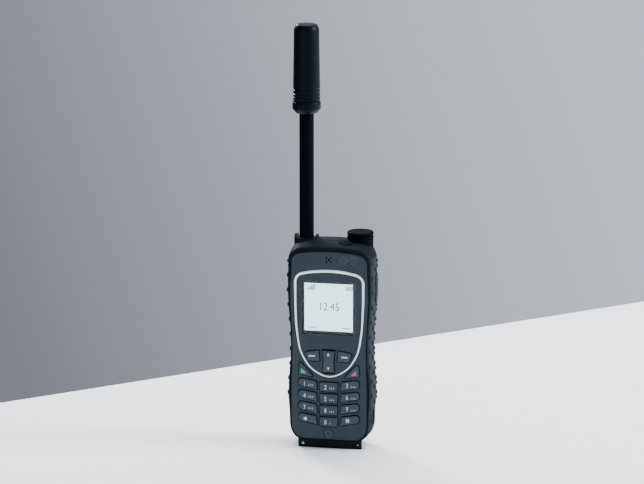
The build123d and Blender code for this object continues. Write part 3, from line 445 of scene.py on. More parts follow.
@dataclass(frozen=True)
class Glow:
    """Lit surface of the display: an even light, its colour broken up a little by soft noise."""

    name: str
    colour: Tuple[float, float, float]
    strength: float

    def build(self) -> bpy.types.Material:
        """Makes an emitting shader whose colour follows a faint noise."""
        material = bpy.data.materials.new(self.name)
        material.use_nodes = True
        tree = material.node_tree
        shader = tree.nodes["Principled BSDF"]
        shader.inputs["Roughness"].default_value = 0.35
        shader.inputs["Emission Strength"].default_value = self.strength
        place = tree.nodes.new("ShaderNodeTexCoord")
        cells = tree.nodes.new("ShaderNodeTexNoise")
        cells.inputs["Scale"].default_value = 40.0
        tree.links.new(place.outputs["Object"], cells.inputs["Vector"])
        tone = tree.nodes.new("ShaderNodeValToRGB")
        tone.color_ramp.elements[0].color = (*(c * 0.97 for c in self.colour), 1)
        tone.color_ramp.elements[1].color = (*self.colour, 1)
        tree.links.new(cells.outputs["Fac"], tone.inputs["Fac"])
        tree.links.new(tone.outputs["Color"], shader.inputs["Base Color"])
        tree.links.new(tone.outputs["Color"], shader.inputs["Emission Color"])
        return material


@dataclass
class Palette:
    """Every finish of the handset, built once."""

    made: Dict[str, bpy.types.Material] = field(default_factory=dict)

    def __post_init__(self) -> None:
        """Builds the materials."""
        finishes = [
            Finish(
                "shell_plastic", (0.0050, 0.0072, 0.0105), 0.66,
                grain_mm=0.30, grain_depth=0.35, specular=0.05,
            ),
            Finish(
                "grip_rubber", (0.0120, 0.0150, 0.0190), 0.70,
                grain_mm=0.22, grain_depth=0.3, specular=0.09,
            ),
            Finish(
                "panel_plastic", (0.0245, 0.033, 0.0415), 0.52,
                grain_mm=0.26, grain_depth=0.3, specular=0.25,
            ),
            Finish(
                "key_rubber", (0.030, 0.040, 0.050), 0.46,
                grain=Grain.SMOOTH, grain_mm=0.5, grain_depth=0.2, specular=0.35,
            ),
            Finish("ring_metal", (0.78, 0.82, 0.86), 0.38, 1.0, Grain.BRUSHED, 0.3, 0.1, 0.03),
            Finish(
                "mast_paint", (0.0008, 0.0020, 0.0036), 0.52,
                grain=Grain.SMOOTH, grain_mm=1.2, grain_depth=0.12, specular=0.025,
            ),
            Finish(
                "head_plastic", (0.0016, 0.0036, 0.006), 0.38,
                grain=Grain.SMOOTH, grain_mm=0.8, grain_depth=0.15, specular=0.075,
            ),
            Finish(
                "cap_plastic", (0.0022, 0.0036, 0.0055), 0.70,
                grain_mm=0.3, grain_depth=0.3, specular=0.02,
            ),
            Finish(
                "fork_plastic", (0.0014, 0.003, 0.005), 0.45,
                grain_mm=0.3, grain_depth=0.25, specular=0.12,
            ),
            Finish(
                "base_plastic", (0.0008, 0.0024, 0.0042), 0.42,
                grain_mm=0.3, grain_depth=0.2, specular=0.10,
            ),
            Finish("inner_black", (0.004, 0.005, 0.006), 0.6, specular=0.1),
            Finish("board_mask", (0.01, 0.09, 0.05), 0.35, grain_mm=0.5),
            Finish("cast_alloy", (0.50, 0.51, 0.53), 0.45, 1.0, grain_mm=0.4),
            Finish("fastener_steel", (0.56, 0.57, 0.59), 0.28, 1.0, Grain.BRUSHED, 0.25, 0.1, 0.05),
            Finish("alarm_red", (0.42, 0.02, 0.012), 0.42, grain=Grain.SMOOTH, grain_depth=0.15),
            Finish(
                "smoked_lens", (0.006, 0.006, 0.008), 0.08,
                grain=Grain.SMOOTH, grain_mm=2.0, grain_depth=0.05,
            ),
            Finish(
                "print_white", (0.62, 0.66, 0.69), 0.45,
                grain=Grain.SMOOTH, grain_depth=0.1, variation=0.04,
            ),
            # Painted highlight: the pale grey of the rims stands in for light caught on the lens and
            # microphone beads.
            Finish("rim_painted_highlight", (0.085, 0.098, 0.112), 0.4, grain=Grain.SMOOTH, grain_depth=0.1),
            Finish(
                "print_dim", (0.27, 0.30, 0.33), 0.45,
                grain=Grain.SMOOTH, grain_depth=0.1, variation=0.04,
            ),
            Finish(
                "print_grey", (0.03, 0.045, 0.05), 0.5,
                grain=Grain.SMOOTH, grain_depth=0.1, variation=0.04,
            ),
            Finish(
                "print_green", (0.02, 0.36, 0.20), 0.42,
                grain=Grain.SMOOTH, grain_depth=0.1, variation=0.05,
            ),
            Finish(
                "print_pink", (0.62, 0.05, 0.17), 0.42,
                grain=Grain.SMOOTH, grain_depth=0.1, variation=0.05,
            ),
        ]
        for finish in finishes:
            self.made[finish.name] = finish.build()
        self.made["window_glass"] = Glass("window_glass").build()
        self.made["display_light"] = Glow("display_light", (0.62, 0.86, 0.92), 2.1).build()

    def __getitem__(self, name: str) -> bpy.types.Material:
        """The material of that name."""
        return self.made[name]


# ---------------------------------------------------------------- housing form
@dataclass
class HullForm:
    """The housing's side: a waisted half-width over height, drawn in towards the front and back."""

    front: float = -14.2
    back: float = 13.6
    heights: Tuple[float, ...] = (14.0, 19.2, 36.0, 48.0, 60.0, 73.0, 84.0, 93.0, 106.0, 128.0)
    halves: Tuple[float, ...] = (28.9, 29.2, 29.9, 29.5, 28.5, 28.3, 28.7, 29.5, 30.2, 29.9)
    shares: Tuple[float, ...] = (0.0, 0.025, 0.085, 0.187, 0.403, 0.619, 0.799, 0.906, 0.978, 1.0)
    insets: Tuple[float, ...] = (2.6, 2.2, 1.9, 1.45, 1.0, 1.0, 2.1, 3.6, 6.6, 10.0)

    def half_width(self, y: Array, z: Array) -> Array:
        """Half-width at a depth and height: the waist's curve less the draw-in's curve.

        Args:
            y: Depths.
            z: Heights.

        Returns:
            Half-widths in millimetres.
        """
        share = (y - self.front) / (self.back - self.front)
        waist = smooth_value(z, np.array(self.heights), np.array(self.halves))
        return waist - smooth_value(share, np.array(self.shares), np.array(self.insets))


@dataclass
class SideGrip:
    """Rubber grip with a lattice of knobs, one on each side."""

    form: HullForm
    side: int
    key_z: float
    key_length: float
    key_y: float = 0.6
    key_width: float = 6.4
    front: float = -12.1
    back: float = 10.5
    low: float = 27.5
    high: float = 131.0
    thickness: float = 0.95
    proud: float = 0.12
    knob_radius: float = 1.75
    knob_height: float = 1.0
    pitch: float = 10.1
    columns: Tuple[float, ...] = (-9.9, -3.9, 2.1, 8.1)

    def _height(self, y: Array, z: Array) -> Array:
        """Height over the hull: rounded border, round knobs on a staggered lattice, a sunk key slot."""
        border = np.minimum.reduce([y - self.front, self.back - y, z - self.low, self.high - z])
        lift = self.proud - 0.55 * np.clip(1 - border / 0.8, 0, 1) ** 2
        straight = (self.key_length - self.key_width) / 2
        reach = np.hypot(y - self.key_y, np.maximum(np.abs(z - self.key_z) - straight, 0))
        slot = np.clip((reach - self.key_width / 2 - 0.2) / 0.5, 0, 1)
        clear = np.clip((reach - self.key_width / 2 - 1.0) / 1.2, 0, 1)
        for i, column in enumerate(self.columns):
            offset = z - self.low - 4.3 - (0.0 if i % 2 else self.pitch / 2)
            row = np.round(offset / self.pitch)
            away = np.hypot((y - column) / 0.9, offset - row * self.pitch)
            inside = (z > self.low + 2.6) & (z < self.high - 2.6)
            bump = np.clip(1 - (away / self.knob_radius) ** 2, 0, 1) ** 0.65
            lift = lift + self.knob_height * bump * inside * clear
        return lift * slot - (1 - slot) * (self.thickness - 0.12)

    def build(self, palette: Palette) -> bpy.types.Object:
        """Makes the grip as a closed skin: outer face, inner face and the walls between them."""
        z = np.linspace(self.low, self.high, 480)[:, None]
        y = np.linspace(self.front, self.back, 96)[None, :]
        yy, zz = np.broadcast_arrays(y, z)
        base = np.stack([self.form.half_width(yy, zz), yy, zz], axis=-1)
        normal = np.cross(np.gradient(base, axis=1), np.gradient(base, axis=0))
        normal /= np.linalg.norm(normal, axis=-1, keepdims=True)
        outer = base + normal * self._height(yy, zz)[..., None]
        inner = base - normal * self.thickness
        mirror = np.array([self.side, 1, 1])
        edge = lambda a, b: np.stack([a, b], axis=0) * mirror
        skin = Skin().grid(outer * mirror).grid(inner * mirror)
        rims = ((outer[0], inner[0]), (outer[-1], inner[-1]))
        rims += ((outer[:, 0], inner[:, 0]), (outer[:, -1], inner[:, -1]))
        for above, below in rims:
            skin.grid(edge(above, below))
        name = "grip_right" if self.side > 0 else "grip_left"
        return own(skin.build("studded_" + name, [palette["grip_rubber"]]), "handset", "grip", name)


# ---------------------------------------------------------------- face: ring, display
@dataclass
class FaceRing:
    """Bright shield-shaped ring: a half-round band carried round a closed path."""

    face_y: float = -14.0
    top: float = 122.2
    bottom: float = 50.0
    half: float = 23.05
    crown: float = 82.0
    band: float = 1.5
    height: float = 0.42

    def path(self) -> Array:
        """Middle line: crowned top, quarter-turn corners, sides that run in to a pointed bottom."""
        flat = self.half - 4.6
        sag = self.crown - math.sqrt(self.crown**2 - flat**2)
        run, fall = math.sqrt(self.crown**2 - flat**2) / self.crown, flat / self.crown
        side_top = self.top - sag - 6.2
        x = np.linspace(0, flat, 24)
        top = np.stack([x, self.top - (self.crown - np.sqrt(self.crown**2 - x**2))], axis=1)
        corner = bezier(
            (flat, self.top - sag),
            (flat + 2.9 * run, self.top - sag - 2.9 * fall),
            (self.half, side_top + 3.4),
            (self.half, side_top),
            14,
        )
        stops = [(self.half, side_top), (22.75, 94.0), (21.8, 80.0), (18.5, 65.0), (11.5, 55.0)]
        stops.append((0, self.bottom))
        side = smooth_path(stops, 120, (0, -1), (-1, 0))
        right = np.concatenate([top, corner[1:], side[1:]])
        left = right[1:-1][::-1] * np.array([-1, 1])
        return np.concatenate([right, left])

    def build(self, palette: Palette) -> bpy.types.Object:
        """Makes the band: wider at the top, narrower at the bottom, with a half-ellipse section."""
        path = self.path()[::-1]
        along = np.roll(path, -1, axis=0) - np.roll(path, 1, axis=0)
        along /= np.linalg.norm(along, axis=1, keepdims=True)
        across = np.stack([along[:, 1], -along[:, 0]], axis=1)
        rise = np.clip((path[:, 1] - self.bottom) / (self.top - self.bottom), 0, 1)
        half = 0.5 * (self.band - 0.35 + 0.75 * rise**2)
        t = np.linspace(0, 2 * np.pi, 17)[:-1]
        out = np.sign(np.cos(t)) * np.abs(np.cos(t)) ** 0.8
        up = np.where(np.sin(t) > 0, np.sin(t) * self.height, np.sin(t) * 0.4)
        spot = path[None, :, :] + out[:, None, None] * half[None, :, None] * across[None, :, :]
        depth = np.repeat((self.face_y - up)[:, None], len(path), 1)
        grid = np.stack([spot[..., 0], depth, spot[..., 1]], axis=-1)
        skin = Skin().grid(np.concatenate([grid, grid[:1]]), wrap=True)
        return own(skin.build("face_ring", [palette["ring_metal"]]), "handset", "ring", "ring_trim")


def plate(loop: Array, front: float, back: float, edge: float = 0.0, slot: int = 0) -> Skin:
    """Flat plate of any outline, its front edge turned over by a small bevel.

    Args:
        loop: Anticlockwise outline (x, z), shape (n, 2).
        front: Depth of the front face.
        back: Depth of the back face.
        edge: Bevel of the front edge.
        slot: Material slot.

    Returns:
        The skin of the plate.
    """
    middle = loop.mean(axis=0)
    bevelled = inset_loop(loop, edge)
    rows = [(middle, back), (loop, back), (loop, front + edge), (bevelled, front), (middle, front)]
    grid = []
    for where, depth in rows:
        ring = np.broadcast_to(where, loop.shape)
        grid.append(np.stack([ring[:, 0], np.full(len(loop), depth), ring[:, 1]], axis=-1))
    return Skin().grid(np.stack(grid), wrap=True, slot=slot)


def box_loop(x: float, z: float, width: float, height: float, radius: float = 0.05) -> Array:
    """Outline of a round-cornered rectangle about a centre."""
    w, h = width / 2, height / 2
    corners = [(x - w, z - h), (x + w, z - h), (x + w, z + h), (x - w, z + h)]
    return rounded_polygon(corners, [min(radius, 0.49 * width, 0.49 * height)] * 4, 5)


def lettering(
    name: str, text: str, centre: Point, height: float, depth: Callable[[Array, Array], Array],
    material: bpy.types.Material, squeeze: float = 0.8,
) -> bpy.types.Object:
    """Raised print of plain digits: letter outlines laid on a curved face.

    Args:
        name: Name of the piece.
        text: The digits.
        centre: Their middle, (x, z).
        height: Height of a digit.
        depth: Gives the face's depth at arrays of x and z.
        material: Print colour.
        squeeze: Width factor.

    Returns:
        The mesh object, at the origin.
    """
    curve = bpy.data.curves.new(name, "FONT")
    curve.body = text
    curve.align_x = "CENTER"
    curve.align_y = "CENTER"
    curve.extrude = 0.02
    curve.resolution_u = 3
    holder = bpy.data.objects.new(name, curve)
    bpy.context.scene.collection.objects.link(holder)
    bpy.context.view_layer.update()
    mesh = bpy.data.meshes.new_from_object(holder.evaluated_get(bpy.context.evaluated_depsgraph_get()))
    bpy.data.objects.remove(holder)
    co = np.empty(len(mesh.vertices) * 3, dtype=np.float32)
    mesh.vertices.foreach_get("co", co)
    co = co.reshape(-1, 3).astype(float)
    low, high = co.min(axis=0), co.max(axis=0)
    scale = height / (high[1] - low[1])
    x = (co[:, 0] - (low[0] + high[0]) / 2) * scale * squeeze + centre[0]
    z = (co[:, 1] - (low[1] + high[1]) / 2) * scale + centre[1]
    y = depth(x, z) - np.where(co[:, 2] > 0, 0.035, -0.05)
    mesh.vertices.foreach_set("co", (np.stack([x, y, z], axis=1) * MM).astype(np.float32).ravel())
    mesh.materials.clear()
    mesh.materials.append(material)
    mesh.update()
    made = bpy.data.objects.new(name, mesh)
    bpy.context.scene.collection.objects.link(made)
    return made


@dataclass
class Display:
    """Lit display behind its window, with generic symbols and a clock.

    The lit area sits a little left of the middle of its border.
    """

    width: float = 32.8
    height: float = 32.4
    centre_z: float = 97.05
    centre_x: float = -0.7
    face_y: float = -12.32

    def build(self, palette: Palette) -> None:
        """Makes the lit plate, the border in the panel's colour, and the symbols."""
        border = plate(box_loop(0, self.centre_z, 40.0, 41.0, 1.0), self.face_y + 0.12, -9.9)
        own(border.build("display_frame", [palette["panel_plastic"]]), "handset", "lcd", "lcd_module")
        outline = box_loop(self.centre_x, self.centre_z, self.width, self.height, 0.25)
        lit = plate(outline, self.face_y, self.face_y + 0.3)
        own(lit.build("display_lit_area", [palette["display_light"]]), "handset", "lcd")
        self._symbols(palette)

    def _symbols(self, palette: Palette) -> None:
        """Draws signal bars, a battery outline, a clock and two soft-key dashes."""
        flat = lambda x, z: np.full(np.shape(x), self.face_y)
        top = self.centre_z + self.height / 2 - 2.9
        signs = Skin()
        loops = [box_loop(-15.0 + 1.5 * i, top - 1.2 + 0.5 * i, 0.9, 0.9 + 1.0 * i) for i in range(4)]
        loops += [box_loop(13.2, top + 1.15, 4.6, 0.4), box_loop(13.2, top - 1.15, 4.6, 0.4)]
        loops += [box_loop(11.1, top, 0.4, 2.3), box_loop(15.3, top, 0.4, 2.3), box_loop(15.9, top, 0.5, 1.1)]
        loops += [box_loop(12.1 + 1.1 * i, top, 0.7, 1.4) for i in range(3)]
        loops += [box_loop(side * 11.5, self.centre_z - self.height / 2 + 2.2, 6.0, 0.6) for side in (-1, 1)]
        for loop in loops:
            piece = plate(loop, self.face_y - 0.03, self.face_y + 0.02)
            signs.grid(piece.points[0].reshape(5, -1, 3), wrap=True)
        own(signs.build("display_symbols", [palette["print_grey"]]), "handset", "lcd")
        middle = (0.0, self.centre_z + 0.5)
        clock = lettering("display_clock", "12:45", middle, 5.4, flat, palette["print_grey"], 0.85)
        own(clock, "handset", "lcd")


# ---------------------------------------------------------------- small face details
RIM_FACE_Y = -13.9
BASE_FRONT_Y = -12.6


@dataclass(frozen=True)
class Rim:
    """Thin round bead that stands on a forward face, in a pale finish that paints its highlight."""

    name: str
    centre: Point
    radius: float
    face_y: float
    band: float = 0.36
    rise: float = 0.22

    def build(self, palette: Palette, finish: str) -> bpy.types.Object:
        """Makes the bead: a half-round section carried round a circle in the face."""
        around = np.linspace(0, 2 * np.pi, 73)[:-1][None, :]
        across = np.linspace(0, 2 * np.pi, 13)[:, None]
        reach = self.radius + 0.5 * self.band * np.cos(across)
        depth = self.face_y - self.rise * np.sin(across) + 0 * around
        x = self.centre[0] + reach * np.cos(around)
        z = self.centre[1] + reach * np.sin(around)
        grid = np.stack([x, depth, z], axis=-1)
        return own(Skin().grid(grid, wrap=True).build(self.name, [palette[finish]], 60), "handset", "panel")


def build_base_marks(palette: Palette) -> None:
    """Prints a small triangle and a dot low on the base adapter's front face."""
    triangle = rounded_polygon([(-19.0, 1.9), (-17.2, 1.9), (-18.1, 3.9)], (0.15,) * 3)
    dot = box_loop(19.4, 3.0, 0.9, 0.9, 0.44)
    marks = Skin()
    for loop in (triangle, dot):
        mark = plate(loop, BASE_FRONT_Y - 0.04, BASE_FRONT_Y + 0.04)
        marks.grid(mark.points[0].reshape(5, -1, 3), wrap=True)
    own(marks.build("base_marks", [palette["print_white"]]), "handset", "base")


# ---------------------------------------------------------------- keys
@dataclass
class KeyCap:
    """One key: a pillow-topped rubber cap with its print.

    The back, the skirt and the foot of the rounded edge are painted black as painted shade in the gap round
    the key; the rest is key rubber.
    """

    node: str
    loop: Array
    front: float = -14.9
    back: float = -11.3
    edge: float = 0.6
    crown: float = 0.38
    gap_shade_rows: int = 4

    def depth(self, x: Array, z: Array) -> Array:
        """Face depth: a shallow paraboloid over the key's box."""
        low, high = self.loop.min(axis=0), self.loop.max(axis=0)
        u = (x - (low[0] + high[0]) / 2) / ((high[0] - low[0]) / 2)
        v = (z - (low[1] + high[1]) / 2) / ((high[1] - low[1]) / 2)
        return self.front + self.crown * 0.5 * (u**2 * 0.45 + v**2 * 1.1)

    def build(self, palette: Palette) -> bpy.types.Object:
        """Makes the cap: skirt, quarter-round edge, then rings that close on the middle."""
        middle = self.loop.mean(axis=0)
        rings, depths = [self.loop * 1.0], [np.full(len(self.loop), self.back)]
        for angle in np.linspace(0, np.pi / 2, 6):
            ring = inset_loop(self.loop, self.edge * (1 - math.cos(angle)))
            rings.append(ring)
            depths.append(self.depth(ring[:, 0], ring[:, 1]) + self.edge * (1 - math.sin(angle)))
        top = rings[-1]
        for share in np.linspace(0, 1, 9)[1:]:
            ring = top + (middle - top) * share
            rings.append(ring)
            depths.append(self.depth(ring[:, 0], ring[:, 1]))
        rings.insert(0, np.broadcast_to(middle, self.loop.shape))
        depths.insert(0, np.full(len(self.loop), self.back))
        grid = np.stack([np.stack([r[:, 0], d, r[:, 1]], axis=-1) for r, d in zip(rings, depths)])
        # Painted shade: the skirt and the foot of the edge take the black inner finish to stand for the dark
        # gap round the key.
        skin = Skin().grid(grid[: self.gap_shade_rows + 1], wrap=True, slot=1)
        skin.grid(grid[self.gap_shade_rows :], wrap=True)
        made = skin.build("cap_" + self.node, [palette["key_rubber"], palette["inner_black"]], 50)
        return own(made, self.node, "key", self.node)

    def mark(self, palette: Palette, name: str, loops: Sequence[Array], colour: str) -> bpy.types.Object:
        """Prints flat marks on the key's face.

        Args:
            palette: The finishes.
            name: Name of the piece.
            loops: Outlines of the marks.
            colour: Name of the print finish.

        Returns:
            The print.
        """
        skin = Skin()
        for loop in loops:
            middle = np.broadcast_to(loop.mean(axis=0), loop.shape)
            rows = []
            for ring, lift in ((middle, -0.05), (loop, -0.05), (loop, 0.035), (middle, 0.035)):
                y = self.depth(ring[:, 0], ring[:, 1]) - lift
                rows.append(np.stack([ring[:, 0], y, ring[:, 1]], axis=-1))
            skin.grid(np.stack(rows), wrap=True)
        return own(skin.build(name, [palette[colour]]), self.node, "key")


@dataclass
class Keypad:
    """All the front keys: bowed rows of digits, call keys, soft keys and the up-down key."""

    first_row: float = 46.2
    pitch: float = 8.08
    height: float = 6.6

    def _digit_keys(self) -> List[Tuple[str, Array, Point, str]]:
        """Node, outline, middle and digit of the twelve digit keys."""
        out = []
        rows = (("1", "2", "3"), ("4", "5", "6"), ("7", "8", "9"), ("star", "0", "hash"))
        for row, labels in enumerate(rows):
            z = self.first_row - row * self.pitch
            left = [(-21.0, z + 2.6), (-8.7, z + 0.5), (-7.7, z - 5.8), (-21.0, z - 2.9)]
            middle = [(-6.6, z), (6.2, z), (5.7, z - self.height), (-6.1, z - self.height)]
            right = [(-x - 0.2, height) for x, height in left]
            shapes = ((left, (2.5, 0.5, 0.5, 2.5)), (middle, (0.8,) * 4), (right, (2.5, 0.5, 0.5, 2.5)))
            middles = ((-14.6, z - 1.7), (-0.3, z - 3.4), (14.4, z - 1.7))
            for label, (corners, radii), centre in zip(labels, shapes, middles):
                out.append(("key_" + label, rounded_polygon(corners, radii), centre, label))
        return out

    def build(self, palette: Palette) -> None:
        """Makes every key with its print."""
        for node, loop, (x, z), label in self._digit_keys():
            key = KeyCap(node, loop)
            key.build(palette)
            if label == "star":
                self._star(palette, key, (x - 1.4, z))
            elif label == "hash":
                self._hash(palette, key, (x - 1.6, z))
            else:
                place = (x - 2.0, z - 0.1)
                white = palette["print_white"]
                own(lettering("digit_" + label, label, place, 3.1, key.depth, white, 0.72), node, "key")
                count = 1 if label == "0" else 3
                bars = [box_loop(x + 1.0 + 1.25 * i, z - 0.75, 0.55, 1.3, 0.2) for i in range(count)]
                key.mark(palette, "marks_" + label, bars, "print_dim")
        self._call_keys(palette)

    def _star(self, palette: Palette, key: KeyCap, centre: Point) -> None:
        """Prints a six-armed star."""
        arms = []
        for turn in np.radians((0, 60, 120)):
            c, s = math.cos(turn), math.sin(turn)
            bar = box_loop(0, 0, 0.55, 2.6, 0.1) @ np.array([[c, s], [-s, c]])
            arms.append(bar + np.array(centre))
        key.mark(palette, "marks_star", arms, "print_white")

    def _hash(self, palette: Palette, key: KeyCap, centre: Point) -> None:
        """Prints the hash sign as four slim bars."""
        x, z = centre
        bars = [box_loop(x + dx, z, 0.42, 2.9, 0.1) for dx in (-0.55, 0.55)]
        bars += [box_loop(x, z + dz, 2.6, 0.42, 0.1) for dz in (-0.55, 0.55)]
        key.mark(palette, "marks_hash", bars, "print_white")

    def _call_keys(self, palette: Palette) -> None:
        """Makes the two call keys, the soft keys and the up-down key."""
        send = [(-20.0, 60.4), (-21.1, 50.9), (-10.0, 49.2)]
        end = [(-x - 0.2, z) for x, z in send]
        soft = [(-16.6, 66.6), (-6.7, 68.0), (-6.1, 60.4), (-14.2, 60.4)]
        soft_right = [(-x - 0.5, z) for x, z in soft]
        calls = (("key_send", send, -1, "print_green"), ("key_end", end, 1, "print_pink"))
        for node, corners, side, colour in calls:
            key = KeyCap(node, rounded_polygon(corners, (1.1, 1.6, 0.5)))
            key.build(palette)
            shift = 0.0 if side < 0 else -0.2
            mark = [(side * 18.9 + shift, 55.2), (side * 18.9 + shift, 51.6), (side * 15.0 + shift, 51.6)]
            key.mark(palette, "marks_" + node, [rounded_polygon(mark, (0.25, 0.5, 0.25))], colour)
        for node, corners, x in (("key_soft_left", soft, -11.6), ("key_soft_right", soft_right, 10.6)):
            key = KeyCap(node, rounded_polygon(corners, (1.6, 0.6, 0.6, 1.6)))
            key.build(palette)
            key.mark(palette, "marks_" + node, [box_loop(x, 63.9, 4.3, 0.95, 0.3)], "print_white")
        self._rocker(palette)

    def _rocker(self, palette: Palette) -> None:
        """Makes the waisted up-down key and its two arrows."""
        t = np.linspace(-1, 1, 25)
        z = 60.4 + 8.1 * t
        half = 3.6 + 1.0 * t**2 + 0.15 * t
        right = np.stack([-0.3 + half, z], axis=1)
        left = np.stack([-0.3 - half, z], axis=1)[::-1]
        key = KeyCap("key_navigation", np.concatenate([right[1:-1], left[1:-1]]), crown=0.3)
        key.build(palette)
        up = rounded_polygon([(-1.4, 64.4), (0.6, 64.4), (-0.4, 66.2)], (0.1,) * 3)
        down = rounded_polygon([(-1.4, 56.4), (0.6, 56.4), (-0.4, 54.6)], (0.1,) * 3)
        key.mark(palette, "marks_navigation", [up, down], "print_white")


# ---------------------------------------------------------------- antenna
@dataclass
class Antenna:
    """Mast, collar and radome: turned profiles about the mast's axis."""

    axis: Point = (-18.8, 3.5)
    foot: float = 132.8
    mast_radius: float = 4.85
    bore: float = 3.6
    collar_low: float = 225.2
    top: float = 285.0

    def build(self, palette: Palette) -> None:
        """Makes the mast, the collar and the radome."""
        mast = soft_profile(
            [
                (self.bore, self.foot + 0.4, 0), (self.bore, self.foot, 0.2), (5.05, self.foot, 0.2),
                (5.05, self.foot + 1.5, 0.1), (self.mast_radius, self.foot + 1.6, 0.1),
                (self.mast_radius, self.collar_low + 6.0, 0.2), (self.bore, self.collar_low + 6.0, 0.2),
                (self.bore, self.foot + 0.4, 0),
            ]
        )
        own(self._turn("mast_tube", mast, palette["mast_paint"]), "antenna_mast", "mast", "antenna_mast")
        low = self.collar_low
        sleeve = self.mast_radius + 0.02
        collar = soft_profile(
            [
                (sleeve, low, 0), (7.0, low, 0.5), (9.45, low + 2.9, 0.5), (9.5, low + 7.2, 0.3),
                (9.15, low + 7.6, 0.15), (9.15, low + 8.0, 0.1), (8.6, low + 8.0, 0.1),
                (self.bore, low + 8.0, 0), (self.bore, low + 6.0, 0), (sleeve, low + 6.0, 0),
                (sleeve, low, 0),
            ]
        )
        head = palette["head_plastic"]
        own(self._turn("mast_collar", collar, head), "antenna_mast", "collar", "antenna_collar")
        own(self._turn("radome_shell", self._head(), head), "antenna_mast", "radome", "antenna_radome")

    def _head(self) -> Array:
        """Radome profile: bevelled foot, three fine grooves, a slight taper and a domed top."""
        low = self.collar_low + 8.0
        corners = [(7.0, low + 0.02, 0), (8.3, low + 0.02, 0.1), (9.0, low + 1.0, 0.25)]
        for z in (low + 2.6, low + 4.9, low + 7.6):
            corners += [(8.98, z, 0.12), (8.62, z + 0.25, 0.1), (8.62, z + 0.65, 0.1), (8.96, z + 0.9, 0.12)]
        corners += [(8.95, low + 10.0, 0.3), (8.4, self.top - 3.4, 2.6), (6.9, self.top - 0.7, 1.6)]
        corners += [(5.4, self.top - 0.25, 0.6), (0.0, self.top, 0)]
        outer = soft_profile(corners, 7)
        inner = np.array([(0.0, self.top - 2.0), (6.6, self.top - 4.5), (7.0, low + 0.02)])
        return np.concatenate([outer, inner])

    def _turn(self, name: str, profile: Array, material: bpy.types.Material) -> bpy.types.Object:
        """Turns a closed profile about the mast's axis."""
        return Skin().grid(turned(profile, self.axis, 128), wrap=True).build(name, [material], 30)


# ---------------------------------------------------------------- the rest of the nodes
NODE_FINISHES: Dict[str, str] = {
    "front_housing": "shell_plastic", "rear_housing": "shell_plastic", "housing_gasket": "inner_black",
    "front_panel": "panel_plastic", "microphone_boss": "key_rubber", "display_window": "window_glass",
    "inner_frame": "cast_alloy", "keypad_mat": "inner_black", "dome_sheet": "fastener_steel",
    "main_board": "board_mask", "shield_cans": "fastener_steel", "earpiece": "inner_black",
    "microphone": "inner_black", "status_windows": "smoked_lens", "housing_screws": "fastener_steel",
    "loudspeaker": "inner_black", "side_socket": "inner_black", "emergency_boss": "cap_plastic",
    "cover_hinge_pins": "fastener_steel", "antenna_fork": "fork_plastic",
    "antenna_hinge_pins": "fastener_steel",
    "antenna_well": "cast_alloy", "sim_holder": "inner_black", "base_adapter": "base_plastic",
    "adapter_sockets": "fastener_steel", "base_connector": "inner_black", "volume_key": "grip_rubber",
    "talk_key": "grip_rubber", "power_key": "cap_plastic", "emergency_key": "alarm_red",
    "emergency_cover": "cap_plastic", "port_cover": "grip_rubber", "battery_pack": "shell_plastic",
    "battery_latch": "base_plastic", "antenna_knuckle": "fork_plastic", "antenna_helix": "board_mask",
}


def dress_nodes(palette: Palette) -> None:
    """Gives each CAD node that stays its finish."""
    for node, finish in NODE_FINISHES.items():
        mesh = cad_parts[node].data
        mesh.materials.clear()
        mesh.materials.append(palette[finish])
        log.info("%s dressed in %s", node, finish)


